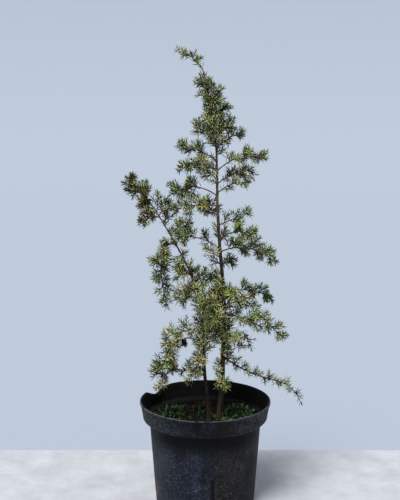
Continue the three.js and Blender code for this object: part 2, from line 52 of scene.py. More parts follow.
# The draw that is shared with the solids: weights of the seed and of the number, and a scale
CHANCE_WEIGHTS = (12.9898, 78.233)
CHANCE_SCALE = 43758.5453
# Sizes drawn at random: the least, and the range above it
MOSS_SIZES = (0.5, 0.8)
CRUMB_CORNERS = (0.7, 0.6)
TWIGLET_SIZES = (0.8, 0.4)
TWIGLET_SPREADS = (0.6, 0.3)
NEEDLE_SIZES = (0.82, 0.3)
DEAD_SIZES = (0.5, 0.5)


def srgb(red, green, blue):
    """A colour given as seen, from 0 to 255, as the linear colour that a shader takes."""
    shares = [value / 255 for value in (red, green, blue)]
    return (*(s / 12.92 if s <= 0.04045 else ((s + 0.055) / 1.055) ** 2.4 for s in shares), 1.0)


# Camera, light and stage. Lights: azimuth and height, power, width in degrees, colour
CAMERA_PLACE = (-7.5, -1319.0, 591.0)
CAMERA_PITCH = 9.53
CAMERA_LENS = 68.26
CAMERA_SENSOR = 36.0
CAMERA_CLIP = (50.0, 50000.0)
SUNS = {
    "key_light": ((-122, 60), 3.4, 26, (1.0, 0.99, 0.95)),
    "fill_light": ((-20, 35), 0.25, 60, (0.92, 0.96, 1.0)),
}
SUN_DISTANCE = 3000.0
SKY_STOPS = [(0.0, (0.26, 0.28, 0.31, 1)), (0.9, (0.95, 0.99, 1.05, 1))]
SKY_POWER = 0.5
FLOOR_EDGE = 185.0
STAGE_HALF_WIDTH = 6000.0
STAGE_FRONT = -6000.0
STAGE_BACK = 4200.0
SWEEP_RADIUS = 1500.0
SWEEP_STEPS = 16
STAGE_HEIGHT = 6000.0

# Pot
pot_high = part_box("pot")[1]
POT_HEIGHT = pot_high.z / MM
RIM_RADIUS = pot_high.x / MM
BASE_RADIUS = 71.7
FLOOR_LIFT = 2.0
SHOULDER_RADIUS = 80.5
SHOULDER_HEIGHT = 123.0
BAND_FOOT_RADIUS = 90.0
BAND_FOOT_HEIGHT = 126.0
BAND_STRAIGHT_FROM = 129.0
WALL = 1.5
POT_STEPS = 288
DENT_AZIMUTH = 150.0
DENT_SPREAD = (7.0, 15.0)
DENT_DEPTH = 8.0
DENT_DROP = 5.0
KINK_AZIMUTH = 160.0
KINK_SPREAD = 3.0
KINK_RISE = 1.2
SEAM_AZIMUTH = -82.3
SEAM_SPREAD = 2.4
SEAM_TOP = 60.0
SEAM_DEPTH = 0.9
SEAM_BEYOND = 60.0
SEAM_FADE = 6.0
# Heights between which the wall's waves grow from the foot, and fade again below the rim
FLANK_FOOT = (2.0, 30.0)
FLANK_TOP = (POT_HEIGHT, 110.0)
# Waves of the wall: depth, how many round the pot, and where they start
POT_WAVES = [(0.35, 2, 40), (0.2, 3, 10)]
POT_ROUGHNESS = [(0.3, (0.5, 0.5, 0.5, 1.0)), (0.7, (0.72, 0.72, 0.72, 1.0))]
# Fine scratches where a pattern has a value: its scale and stretch, the value, and their width
POT_SCRATCHES = [(60.0, (0.5, 1.0, 1.9), 0.5, 0.006), (75.0, (1.8, 1.0, 0.6), 0.53, 0.005)]
# Longer scratches on the front: X and height of both ends, and width
POT_LINES = [
    (-22, 38, 2, 50, 0.7), (-14, 39, -7, 52, 0.5), (-6, 44, 4, 47, 0.5), (-19, 46, -10, 42, 0.5),
    (40, 62, 46, 84, 0.5), (46, 84, 52, 64, 0.5), (-48, 70, -30, 84, 0.4), (24, 30, 33, 36, 0.4),
]
SLOT_COUNT = 9
SLOT_HALF_WIDTH = 4.4
SLOT_HEIGHT = 5.0
SLOTS_BEYOND = 58.0

# Soil and moss
SOIL_TOP = 118.0
SOIL_WAVE = 1.6
SOIL_WAVELENGTHS = (9.0, 11.0, 5.0)
SOIL_RIPPLE = 0.6
SOIL_RADIUS = 78.0
SOIL_DEPTH = 8.0
SOIL_RINGS, SOIL_STEPS = 90, 240
# Lumps of the dressed soil, and of the cover of moss: height, width and seed
SOIL_LUMPS = [(0.9, 6.0, 0.0), (0.5, 2.4, 3.0)]
MOSS_LUMPS = [(0.35, 12.0, 7.0), (0.2, 4.0, 9.0)]
# Swellings under the moss, the same as the solid's: X, Y, height and spread
MOSS = [(-48.0, 26.0, 7.0, 22.0), (52.0, 30.0, 8.0, 20.0)]
# Patches of moss: X, Y, how closed, and spread
MOSS_PATCHES = [
    (-48.0, 26.0, 0.9, 24.0), (-58.0, -4.0, 0.75, 18.0), (-30.0, -6.0, 0.55, 15.0),
    (52.0, 30.0, 1.0, 27.0), (40.0, 2.0, 0.9, 24.0), (-6.0, 40.0, 0.6, 20.0), (2.0, 6.0, 0.5, 18.0),
]
# Kinds of moss: shoots tried, height, how closed the cushion has to be, and the two colours
MOSS_KINDS = {
    "moss_deep": (1900, 4.4, 0.34, (srgb(9, 20, 10), srgb(32, 52, 30))),
    "moss_bright": (760, 6.4, 0.56, (srgb(32, 64, 30), srgb(126, 168, 106))),
}
MOSS_RADII = (0.35, 0.2)
MOSS_LEAN = 0.28
MOSS_SUNK = 0.8
MOSS_EDGE = 0.15
MOSS_BARE = 0.1
MOSS_POINTS = 4
MOSS_WHORL = 1.5
MOSS_LEAF = 3.4
MOSS_LEAF_WIDTH = 1.5
PEAT = ("peat", srgb(9, 8, 7), srgb(34, 30, 26))
CRUMB_THICK = 0.6
CRUMB_RAISED = 0.25
# Bits in the soil: how many, sizes, stretch, material and its dark and pale colours
CRUMBS = {
    "soil_crumbs": (4200, (1.0, 3.8), 1.3, ("dark_crumb", srgb(12, 10, 9), srgb(42, 36, 31))),
    "bark_chips": (620, (1.4, 5.6), 2.6, ("bark_chip", srgb(34, 26, 21), srgb(84, 68, 54))),
    "pale_bits": (200, (0.8, 2.4), 1.5, ("pale_grit", srgb(104, 96, 84), srgb(168, 160, 146))),
}
FOOT_FLAT = 17.0
FOOT_BLEND = 14.0

# Stems: rows of height above the soil, X and Y, and radii
STEM_TABLE = {
    "main": {
        "rows": [
            (0, 19, 0), (45, 24, 2), (100, 25.5, 3), (160, 27, 2), (205, 25, 1), (260, 20, -1),
            (315, 17, 0), (370, 16, 2), (410, 14, 2), (445, 9, 1), (480, 2, 0), (502, -4, 0),
        ],
        "foot": 3.9, "tip": 0.65, "flare": 1.4,
    },
    "second": {
        "rows": [
            (0, 6, 0), (34, 3, 1), (75, -1, 2), (135, -2, 2), (180, -6, 1), (221, -22, 0),
            (259, -41, -1), (310, -71, 0),
        ],
        "foot": 2.9, "tip": 0.7, "flare": 1.0,
    },
}
FLARE_HEIGHT = 7.0

# Branches: name, carrier, height on it, azimuth, reach, rise, bow, bare length, shoot length, and
# for some a hook and a nod
BOUGH_LENGTH = 14.0
BRANCH_ROWS = [
    ("leader", "main", "tip", 190, 37, 24, 7, 2, 6),
    ("top_left", "main", 458, 165, 14, 36, 0, 2, 12),
    ("top_right", "main", 440, -30, 14, 40, 0, 2, 11),
    ("crown_back", "main", 428, 35, 20, 25, 2, 2, 12),
    ("crown_right", "main", 409, 20, 27, 22, 2, 3, 10),
    ("crown_left", "main", 404, 200, 34, 25, 0, 4, 14),
    ("right_1", "main", 394, 30, 48, 19, 6, 7, 9),
    ("left_1", "main", 377, 155, 62, 19, 5, 9, 10),
    ("left_2", "main", 362, 205, 58, 3, 9, 9, 11),
    ("right_2", "main", 363, -25, 74, 17, 12, 15, 13),
    ("back_1", "main", 350, 125, 52, 14, 5, 9, 14),
    ("right_3", "main", 345, 35, 64, 15, 5, 10, 9),
    ("right_4", "main", 332, -35, 52, 17, 6, 8, 9),
    ("left_3", "main", 328, 170, 66, 0, 12, 24, 16),
    ("left_4", "main", 314, 215, 74, -2, 5, 11, 13),
    ("front_1", "main", 412, -120, 22, 26, 2, 3, 11),
    ("back_2", "main", 298, 110, 62, 8, 6, 12, 15),
    ("right_5", "main", 287, 25, 50, 16, 0, 4, 12),
    ("right_6", "main", 266, -30, 54, 8, 10, 17, 11),
    ("left_5", "main", 253, 200, 64, 17, 9, 38, 12),
    ("right_7", "main", 249, 10, 85, -21, 14, 15, 13),
    ("back_3", "main", 205, 112, 68, -12, 8, 18, 14),
    ("right_14", "main", 229, 55, 30, -1, 4, 5, 10),
    ("right_8", "main", 191, 25, 77, -14, 6, 24, 13),
    ("right_9", "right_8", "tip", -20, 72, -66, -5, 4, 15),
    ("right_10", "main", 182, -35, 38, -6, 6, 3, 14),
    ("front_3", "main", 172, -130, 48, 2, 8, 8, 13),
    ("right_11", "main", 160, -20, 58, -16, 2, 6, 14),
    ("dead_twig", "main", 145, -3, 41, -42, 18, 44, 7),
    ("right_12", "main", 130, -50, 42, -12, 4, 4, 12),
    ("right_13", "main", 96, -15, 116, -24, -14, 18, 8, 0, 40),
    ("front_4", "main", 60, -85, 30, -2, 3, 3, 10),
    ("second_top", "second", "tip", 168, 38, 40, 2, 1, 18),
    ("second_left_1", "second", 298, 210, 33, -9, 6, 4, 11),
    ("second_right_1", "second", 289, 20, 10, 32, 0, 1, 11),
    ("second_right_2", "second", 274, -30, 32, 14, 4, 5, 11),
    ("second_droop", "second", 262, 195, 10, -97, 24, 7, 15, 6.2),
    ("second_left_2", "second", 217, 215, 30, -5, 3, 2, 12),
    ("second_back_1", "second", 205, 115, 64, 8, 8, 15, 15),
    ("second_left_3", "second", 183, 165, 36, -9, 3, 6, 11),
    ("second_front_1", "second", 150, -60, 44, 6, 6, 6, 13),
    ("second_left_4", "second", 135, 195, 60, -10, 5, 10, 13),
    ("second_back_2", "second", 124, 80, 68, -2, 8, 12, 15),
    ("second_left_5", "second", 115, 200, 68, -66, 36, 46, 15, 0.7),
    ("second_front_2", "second", 92, -125, 38, -30, 8, 5, 11),
    ("second_left_6", "second", 70, 155, 62, -6, 5, 10, 9),
]
BRANCH_COLUMNS = (
    "name", "carrier", "height", "azimuth", "reach", "rise", "bow", "bare", "shoot", "hook", "nod",
)
NOD_POWER = 8
LENGTH_POINTS = 201
BOUGH_SHARE = 0.42
BOUGH_RADIUS = (0.95, 1.7)
BOUGH_SIDES = 14
BOUGH_OVERLAP = 0.01
BOUGH_STEP = 0.9
TIP_BRANCH_SHARE = 1.1
TWIG_TIP_RADIUS = 0.45
# Swelling where a limb leaves its carrier: how much wider, and over what length
COLLAR = 0.55
COLLAR_LENGTH = 2.2
# Steps along the wood of a mass, and along the limbs that needles keep clear of
WOOD_STEP = 2.6
LIMB_STEP = 6.0
LIMB_POINTS = 26

# Side shoots, by the rule of the solids, with as many finer ones between them
SHOOT_SPACING = 9.0
SHOOTS_LEAST = 4
SHOOT_FIRST = 2.0
SHOOT_TURN = 137.5
SHOOT_INCLINE = 50.0
SHOOT_INCLINE_SPREAD = 18.0
SHOOT_LIFT = 0.12
SHOOT_ROOT_SHARE = 0.3
SHOOT_SIZES = (0.75, 1.25)
SHOOT_EXTRA = 3.8
SHOOT_PIECE = 2.5
SHOOTS_BETWEEN = 1
FINE_SIZE = 0.75
SWELL = (0.18, 0.9)
SWELL_POWER = 0.8
TIP_NEEDLES = 6.0
STEEP = 0.9
STEP_AHEAD = 0.02
DRAW_TURN, DRAW_SWAY, DRAW_INCLINE, DRAW_SIZE, DRAW_FINE = 1, 7, 10, 40, 200
TWIGLET_LEAST = 6.0
TWIGLET_SPACING = 5.0
TWIGLET_SHARES = (0.18, 0.8)
TWIGLET_SIZE = 0.8
TWIGLET_EXTRA = 2.2
TWIGLET_AHEAD = 0.8
TWIGLET_KEEPS_TINT = 0.75
TRIMMED = {
    "second_droop": 0.85, "second_left_5": 0.95, "right_13": 0.78, "leader": 0.8, "right_2": 0.88,
    "right_3": 0.78, "right_4": 0.82, "left_2": 0.9, "right_9": 0.85, "front_4": 0.75,
    "second_left_2": 0.62, "back_3": 0.7, "second_back_1": 0.72,
}
# Branches with open sprays, where one shoot in a few is left out, and branches with close ones
SPARSE = {
    "right_13", "second_left_6", "right_5", "back_3", "second_back_1", "second_left_2", "right_14",
    "front_4",
}
SPARSE_EVERY = 4
DENSE = {
    "second_droop", "second_top", "second_left_1", "second_left_5", "left_1", "left_2", "left_3",
    "right_2", "right_3", "right_6", "right_7",
}
# Forms of shoots: straight pieces, sway, radii at foot and tip, and the bare share of the length
SHOOT_FORMS = {
    "side": (None, 0.3, (0.85, 0.5), 0.2),
    "stem": (5, 0.4, (0.7, 0.42), 0.25),
    "lone": (6, 0.5, (0.8, 0.42), 0.3),
    "twiglet": (3, 0.2, (0.48, 0.36), 0.15),
    "clump": (3, 0.2, (0.5, 0.3), 0.1),
}

# Short shoots straight from the stems, which close the column round them: stem, lowest and highest
# shoot, spacing along the stem, length, and the azimuths that they spread over
STEM_SHOOTS = [
    ("main", 434, 482, 2.8, 12.5, -180, 180),
    ("main", 392, 440, 3.4, 18, 140, 285),
    ("main", 384, 430, 6.0, 15, -40, 60),
    ("main", 344, 384, 10.0, 10, 160, 240),
    ("main", 268, 286, 6.0, 10, 160, 220),
    ("main", 112, 198, 4.6, 21, 140, 225),
    ("main", 202, 226, 12.0, 9, 140, 230),
    ("main", 118, 195, 6.5, 17, -30, 70),
    ("main", 96, 150, 9.0, 13, 230, 310),
    ("main", 44, 90, 8.0, 13, 170, 250),
    ("main", 82, 116, 6.5, 15, -50, 50),
    ("second", 240, 300, 15.0, 10, 20, 160),
    ("second", 226, 290, 17.0, 8, 180, 350),
    ("second", 100, 198, 3.4, 18, -180, 180),
    ("second", 200, 220, 8.0, 9, -60, 120),
    ("second", 66, 112, 7.0, 16, 150, 250),
]
STEM_SHOOT_SIZES = (0.65, 1.25)
# Shoots with a place of their own, by carrier: height on a stem or share of a branch, azimuth,
# climb and length
LONE_SHOOTS = [
    ("second_top", (0.74, 185, 12, 17), (0.9, 60, 60, 11), (0.55, 200, -15, 14), (0.2, 195, -30, 18),
     (0.35, -60, -25, 12)),
    ("second", (305, 80, 74, 27), (300, 0, 60, 22)),
    ("second_left_1", (0.3, 160, 55, 12)),
    ("left_5", (0.3, 200, 72, 15), (0.24, 150, 40, 13), (0.26, 210, -50, 12)),
    ("main", (270, -20, 50, 17), (262, 40, 40, 15)),
    ("right_7", (0.14, 20, 70, 13), (0.25, -30, 65, 14), (0.3, 10, -45, 13)),
    ("second", (214, 50, 45, 14), (206, 10, 40, 22), (246, 200, -50, 15), (236, 220, -25, 13),
     (196, 190, -14, 36), (190, 170, 10, 18)),
    ("second_left_5", (0.86, 150, 0, 18), (0.8, 20, -20, 18), (0.72, 200, -10, 16)),
    ("left_3", (0.6, 190, -50, 20), (0.45, 150, -55, 18)),
    ("left_4", (0.5, 200, -50, 17)),
    ("right_3", (0.6, 0, -50, 16), (0.85, 20, -60, 15)),
    ("right_6", (0.75, -20, -40, 14)),
    ("right_13", (0.04, -15, 45, 11), (0.09, 20, -35, 9), (0.15, -50, 50, 10)),
    ("right_8", (0.84, -10, -35, 12), (0.9, 60, -50, 11), (0.96, 10, -60, 12)),
    ("leader", (0.12, 150, 30, 8), (0.22, 10, 40, 8)),
    ("main", (240, 190, 35, 24), (231, 165, 15, 15)),
    ("second_droop", (0.62, 175, -35, 12), (0.7, 10, -30, 13), (0.8, 190, -45, 13),
     (0.88, -10, -50, 12)),
]
# The knot of dead needles: its carrier, its place there, and its size
DEAD_CLUMP = ("second_left_5", 0.3, 15.0)
DEAD_CLUMP_SHOOTS = 9
DEAD_HANG = np.array([0.0, -0.7, -1.0])
DEAD_SPREAD = 0.2

# Needles, in whorls that each turn from the one before
WHORL_NEEDLES = 3
WHORL_TURN = 60
NEEDLE_LENGTH = 9.2
NEEDLE_LENGTHS = {
    "olive": 11.2, "rust": 11.2, "fresh": 10.4, "gold": 8.2, "lush": 7.8, "dark": 5.0,
}
NEEDLE_WIDTH = 1.35
NEEDLE_KEEL = 0.5
NEEDLE_WIDEST = 0.32
NEEDLE_CURVE = 0.06
NEEDLE_SUNK = 0.5
# How much shorter needles are at the tip, and how much shorter they get along a twig
TIP_SHORTER = 0.3
END_SHORTER = 0.1
NEEDLE_INCLINE = (56.0, 22.0)
NEEDLE_LIFT = 0.12
# Random part of a needle's turn, in radians, and of its incline, in degrees
TURN_SPREAD = 0.2
INCLINE_SPREAD = 7
WHORL_STEM = 6.0
WHORL_SHOOT = 3.2
WHORL_DEAD = 7.0
WHORL_CLUMP = 1.5
# How far apart a tint's whorls are, as a share of the usual
CLOSENESS = {"lush": 0.65, "gold": 0.85, "olive": 1.16, "fresh": 1.1}
FIRST_WHORL = 0.6
LAST_WHORL = 0.2
TIP_SPRAY = 4.5
TIP_SHARE = 0.55
TIP_CLOSES = 5.0
# Shares of a needle's length at which it has to be clear of limbs, and by how much
CLEAR_SHARES = (0.45, 0.75, 1.0)
CLEAR_GAP = 0.3
GROUND_GAP = 1.0

# Bark
BARK_SIDES = 26
BARK_STEP = 1.1
BARK_RELIEF = 0.3
BARK_FULL_RADIUS = 2.2
# Ridges: how high, how many round the limb, how short along it, and seed
BARK_RIDGES = [(1.0, 2.4, 0.09, 0), (0.5, 5.5, 0.22, 5)]
BARK_DARK_BELOW = 330.0
BARK_PALE_FROM = 440.0
# Swellings at the roots of branches, which the far side has a share of
KNOT_SIZE = 0.32
KNOT_BACK = 0.35
KNOT_AHEAD = 0.1
KNOT_REACH = 12.0
KNOT_WIDTH = 3.6
STEM_SUNK = 3.0
STEM_SEED, BOUGH_SEED = 40.0, 3.0
# Dark, middle and pale colours, and how fine the strings are
BARKS = {
    "stem_bark": (srgb(44, 34, 28), srgb(84, 68, 56), srgb(132, 114, 96), 700.0),
    "bough_bark": (srgb(56, 42, 33), srgb(98, 78, 62), srgb(146, 124, 102), 700.0),
    "twig_bark": (srgb(62, 44, 33), srgb(108, 80, 60), srgb(150, 120, 92), 1500.0),
    "dead_bark": (srgb(50, 34, 26), srgb(92, 62, 46), srgb(128, 94, 72), 1500.0),
}
# Colour, roughness and specular
SHOOT_BARKS = {
    "shoot_bark": (srgb(84, 60, 47), 0.7, 0.3),
    "warm_bark": (srgb(114, 86, 66), 0.7, 0.3),
}
# Kinds of twigs: the piece, its bark and how many sides
TWIG_WOOD = {
    "old": ("twigs_old", "twig_bark", 6),
    "young": ("twigs_young", "shoot_bark", 4),
    "warm": ("twigs_warm", "warm_bark", 4),
    "dead": ("twig_dead", "dead_bark", 4),
}

# Needle tints: the green underside and the pale upper band
TINTS = {
    "grey": (srgb(38, 46, 22), srgb(174, 182, 144)),
    "deep": (srgb(22, 30, 10), srgb(102, 118, 70)),
    "fresh": (srgb(44, 68, 16), srgb(148, 174, 84)),
    "olive": (srgb(66, 62, 20), srgb(178, 172, 100)),
    "gold": (srgb(36, 35, 10), srgb(102, 100, 50)),
    "lush": (srgb(42, 80, 16), srgb(112, 164, 52)),
    "tip": (srgb(80, 92, 34), srgb(196, 206, 150)),
    "rust": (srgb(80, 64, 34), srgb(160, 134, 88)),
    "dry": (srgb(92, 56, 38), srgb(122, 84, 60)),
    "dark": (srgb(34, 24, 18), srgb(52, 38, 28)),
}
# Roughness and specular of the underside and of the band
GREEN_FINISH, BAND_FINISH = (0.5, 0.22), (0.6, 0.24)
DEAD_TINTS = ("dry", "dark")
UNTIPPED = ("dry", "dark", "lush", "gold")
# Shares of the tints in a spray's draw, by the place of its mass
MOODS = {
    "upper": {"grey": 4.4, "deep": 4, "fresh": 1.2, "olive": 0.8},
    "side": {"grey": 2.8, "deep": 3.2, "fresh": 2.8, "olive": 1.6, "rust": 0.1},
    "heart": {"grey": 1.4, "deep": 1.6, "fresh": 3.4, "olive": 3.8, "rust": 0.5},
    "golden": {"deep": 2.5, "olive": 0.5, "gold": 5},
    "lush": {"lush": 6, "fresh": 1},
    "young": {"fresh": 4, "deep": 1, "grey": 1},
    "shade": {"deep": 5, "fresh": 2.4, "grey": 1, "olive": 1.6},
    "dead": {"dry": 1},
}
# From which share of its shoots a branch is lush, and the branches of the other moods
LUSH_FROM = {"right_8": 0.4}
MOOD_BRANCHES = {
    "dead": {"dead_twig"},
    "golden": {"second_top", "second_left_1"},
    "young": {"right_14", "right_5", "right_6", "right_8", "right_11"},
    "shade": {"second_droop", "left_5", "right_7"},
    "heart": {
        "right_10", "front_3", "right_12", "back_3", "second_front_1", "second_left_4",
        "second_back_2", "second_front_2", "second_left_5",
    },
}
HEART_HEIGHTS = (90, 260)
UPPER_FROM = 280
UPPER_STEM_FROM = 340


def lerp(a, b, t):
    return a + (b - a) * t


def drawn(sizes, draws):
    """Sizes from the least up, for draws from 0 to 1."""
    return sizes[0] + sizes[1] * draws


def smoothstep(value, low, high):
    t = np.clip((value - low) / (high - low), 0, 1)
    return t * t * (3 - 2 * t)


def bell(offset, power=2):
    return np.exp(-(offset ** power))


def unit(vectors):
    return vectors / np.maximum(np.linalg.norm(vectors, axis=-1, keepdims=True), 1e-9)


def square_to(forward, side):
    """The part of a direction that is square to another."""
    return unit(side - forward * side.dot(forward))


def first_side(forward):
    return ACROSS if abs(forward[2]) > STEEP else UP


def level_side(direction):
    return unit(np.cross(direction, UP) + 1e-6)


def toward(azimuth, climb=0):
    """A direction from its azimuth and its climb, in degrees."""
    azimuth, climb = math.radians(azimuth), math.radians(climb)
    level = np.array([math.cos(azimuth), math.sin(azimuth), 0])
    return level * math.cos(climb) + UP * math.sin(climb)


def polar(away, turn):
    return away * np.cos(turn), away * np.sin(turn)


def around(side, cross, turn):
    """Directions round an axis, from a side and a cross direction."""
    return side * np.cos(turn) + cross * np.sin(turn)


def full_turn(count):
    return np.arange(count) * 2 * math.pi / count


def arc(x, y, radius, start, end, steps):
    """Points on an arc round a place, between two angles in degrees."""
    angles = np.radians(np.linspace(start, end, steps))
    return [(x + radius * math.cos(a), y + radius * math.sin(a)) for a in angles]


def straight(a, b, steps):
    return [(lerp(a[0], b[0], t), lerp(a[1], b[1], t)) for t in np.linspace(0, 1, steps)]


def chance(seed, n):
    """A steady draw from 0 to 1, the same as the solids'."""
    wave = math.sin(seed * CHANCE_WEIGHTS[0] + n * CHANCE_WEIGHTS[1]) * CHANCE_SCALE
    return wave - math.floor(wave)


def rough(points, scale, seed=0.0):
    """Smooth noise from about -1 to 1 at points in millimetres, with features of that scale."""
    return np.array([noise.noise(Vector(point) / scale + Vector((seed, 0, 0))) for point in points])


def gaps(points):
    """Distances between the points of a row."""
    return np.linalg.norm(np.diff(points, axis=0), axis=1)


def lengths_along(points):
    """Length of a row of points up to each of them."""
    return np.concatenate([[0], np.cumsum(gaps(points))])


def frames_along(points):
    """Forward, side and cross directions carried along a row of points without twist."""
    before = np.vstack([points[:1], points[:-1]])
    after = np.vstack([points[1:], points[-1:]])
    forwards = unit(after - before)
    side = first_side(forwards[0])
    sides = []
    for forward in forwards:
        side = square_to(forward, side)
        sides.append(side)
    sides = np.array(sides)
    return forwards, sides, np.cross(forwards, sides)


def ring_walls(rings, count):
    """Corners of the quads between rings of points: two on one ring, then two on the next."""
    ring = np.arange(count)
    rows = (np.arange(rings) * count)[:, None]
    a, b = rows + ring, rows + (ring + 1) % count
    return a, b, b + count, a + count


def triangles(*rows):
    """Faces from rows of three corners, where one point may serve a whole row."""
    return np.vstack([np.stack(np.broadcast_arrays(*row), -1).reshape(-1, 3) for row in rows])


def tube(points, radii, count, relief=0):
    """Rings of corners along points, closed at both ends. relief adds to each corner's radius."""
    _, sides, crosses = frames_along(points)
    spokes = around(sides[:, None], crosses[:, None], full_turn(count)[:, None])
    reach = radii[:, None] + relief
    rings = (points[:, None] + spokes * reach[:, :, None]).reshape(-1, 3)
    vertices = np.vstack([rings, points[:1], points[-1:]])
    a, b, c, d = ring_walls(len(points) - 1, count)
    ring = np.arange(count)
    after = (ring + 1) % count
    top = (len(points) - 1) * count
    foot, tip = len(vertices) - 2, len(vertices) - 1
    ends = [(foot, after, ring), (tip, top + ring, top + after)]
    return vertices, triangles((a, b, c), (a, c, d), *ends)


def put(name, data):
    """A new object in the scene."""
    thing = bpy.data.objects.new(name, data)
    bpy.context.scene.collection.objects.link(thing)
    return thing


def settle(piece, slot, nodes=()):
    """The piece moves with the one body and stands for its nodes; slot is not used."""
    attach(piece, "root")
    if nodes:
        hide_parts(*nodes)


class Store:
    """Gathers many small forms into one mesh."""

    def __init__(self):
        self.points, self.faces, self.slots, self.count = [], [], [], 0

    def add(self, points, faces, slots=0):
        self.points.append(points)
        self.faces.append(faces + self.count)
        self.slots.append(np.broadcast_to(slots, len(faces)))
        self.count += len(points)

    def add_many(self, shapes, faces, slots=0):
        """Shapes of the same faces, as an array (shapes, points, 3)."""
        starts = shapes.shape[1] * np.arange(len(shapes))[:, None, None]
        rows = (faces + starts).reshape(-1, 3)
        self.add(shapes.reshape(-1, 3), rows, np.resize(slots, len(rows)))

    def make(self, name, materials, smooth=True):
        points = np.vstack(self.points) * MM
        faces = np.vstack(self.faces)
        mesh = bpy.data.meshes.new(name)
        mesh.vertices.add(len(points))
        mesh.vertices.foreach_set("co", points.astype(np.float32).ravel())
        mesh.loops.add(faces.size)
        mesh.loops.foreach_set("vertex_index", faces.astype(np.int32).ravel())
        mesh.polygons.add(len(faces))
        starts = np.arange(0, faces.size, faces.shape[1], dtype=np.int32)
        mesh.polygons.foreach_set("loop_start", starts)
        mesh.polygons.foreach_set("material_index", np.concatenate(self.slots).astype(np.int32))
        mesh.polygons.foreach_set("use_smooth", np.full(len(faces), smooth))
        for material in materials:
            mesh.materials.append(material)
        mesh.update(calc_edges=True)
        return put(name, mesh)


# Materials

def new_material(name, colour, roughness, specular, **others):
    material = bpy.data.materials.new(name)
    material.use_nodes = True
    inputs = material.node_tree.nodes["Principled BSDF"].inputs
    values = {"Base Color": colour, "Roughness": roughness, "Specular IOR Level": specular}
    for key, value in {**values, **others}.items():
        inputs[key].default_value = value
    return material


class Weaver:
    """Short ways to lay pattern nodes before the last node of one material or world."""

    def __init__(self, owner, last="Principled BSDF", place="Object"):
        self.nodes = owner.node_tree.nodes
        self.links = owner.node_tree.links
        self.last = self.nodes[last].inputs
        self.place = self.node("TexCoord").outputs[place]

    def feed(self, socket, value):
        """Gives a socket a plain value, or what another node puts out."""
        if isinstance(value, (int, float, tuple)):
            socket.default_value = value
        else:
            self.links.new(value, socket)

    def node(self, kind, **inputs):
        node = self.nodes.new(f"ShaderNode{kind}")
        for name, value in inputs.items():
            self.feed(node.inputs[name.replace("_", " ")], value)
        return node

    def axis(self, letter):
        return self.node("SeparateXYZ", Vector=self.place).outputs[letter]

    def stretched(self, scale):
        return self.node("Mapping", Vector=self.place, Scale=scale).outputs["Vector"]

    def noise(self, scale, detail, roughness=0.55, place=None):
        place = place or self.place
        node = self.node("TexNoise", Vector=place, Scale=scale, Detail=detail, Roughness=roughness)
        return node.outputs["Fac"]

    def ramp(self, factor, stops):
        node = self.node("ValToRGB", Fac=factor)
        elements = node.color_ramp.elements
        while len(elements) < len(stops):
            elements.new(0.5)
        for element, (position, colour) in zip(elements, stops):
            element.position = position
            element.color = colour
        return node.outputs["Color"]

    def mask(self, factor, low, high):
        """From 0 at low to 1 at high."""
        node = self.node("MapRange", Value=factor, From_Min=low, From_Max=high)
        node.interpolation_type = "SMOOTHSTEP"
        return node.outputs["Result"]

    def zone(self, axis, low, high):
        """A mask along an axis, between two places in millimetres."""
        return self.mask(axis, low * MM, high * MM)

    def maths(self, kind, a, b=0.0):
        node = self.node("Math")
        node.operation = kind
        self.feed(node.inputs[0], a)
        self.feed(node.inputs[1], b)
        return node.outputs["Value"]

    def times(self, product, *factors):
        for factor in factors:
            product = self.maths("MULTIPLY", product, factor)
        return product

    def mix(self, factor, a, b):
        node = self.node("Mix")
        node.data_type = "RGBA"
        for key, value in (("Factor", factor), (6, a), (7, b)):
            self.feed(node.inputs[key], value)
        return node.outputs[2]

    def coat(self, colour, coats):
        """Lays coats over a colour, each with its amount, and gives the result to the material."""
        for amount, over in coats:
            colour = self.mix(amount, colour, over)
        self.feed(self.last["Base Color"], colour)

    def bump(self, height, distance, strength):
        """Unevenness of a pattern, as deep as a distance in millimetres."""
        node = self.node("Bump", Height=height, Distance=distance * MM, Strength=strength)
        self.feed(self.last["Normal"], node.outputs["Normal"])


def bark_material(name):
    dark, middle, pale, scale = BARKS[name]
    material = new_material(name, middle, 0.88, 0.25)
    weave = Weaver(material)
    strings = weave.noise(scale, 5.0, 0.6, weave.stretched((1.0, 1.0, 0.16)))
    reddish = weave.times(weave.mask(weave.noise(90.0, 3.0), 0.5, 0.7), 0.35)
    low = weave.times(weave.zone(weave.axis("Z"), BARK_PALE_FROM, BARK_DARK_BELOW), 0.8)
    colour = weave.ramp(strings, [(0.3, dark), (0.5, middle), (0.68, pale)])
    weave.coat(colour, [(reddish, srgb(104, 68, 46)), (low, srgb(26, 19, 16))])
    weave.bump(strings, 0.4, 0.6)
    return material


def mottled_material(name, colour, finish, pattern, stops, bump=None):
    """Two colours in clouds or grains, which may also stand out as bumps."""
    material = new_material(name, colour, *finish)
    weave = Weaver(material)
    grains = weave.noise(*pattern)
    weave.coat(weave.ramp(grains, stops), [])
    if bump:
        weave.bump(grains, *bump)
    return material


def soil_material(name, dark, pale):
    stops = [(0.35, dark), (0.75, pale)]
    return mottled_material(name, dark, (0.95, 0.2), (420.0, 6.0, 0.7), stops, (0.8, 0.8))


def pot_inside_material():
    stops = [(0.35, srgb(4, 4, 5)), (0.75, srgb(26, 25, 24))]
    pattern = (60.0, 6.0, 0.7)
    return mottled_material("pot_inside", srgb(8, 8, 9), (0.7, 0.14), pattern, stops, (0.3, 0.4))


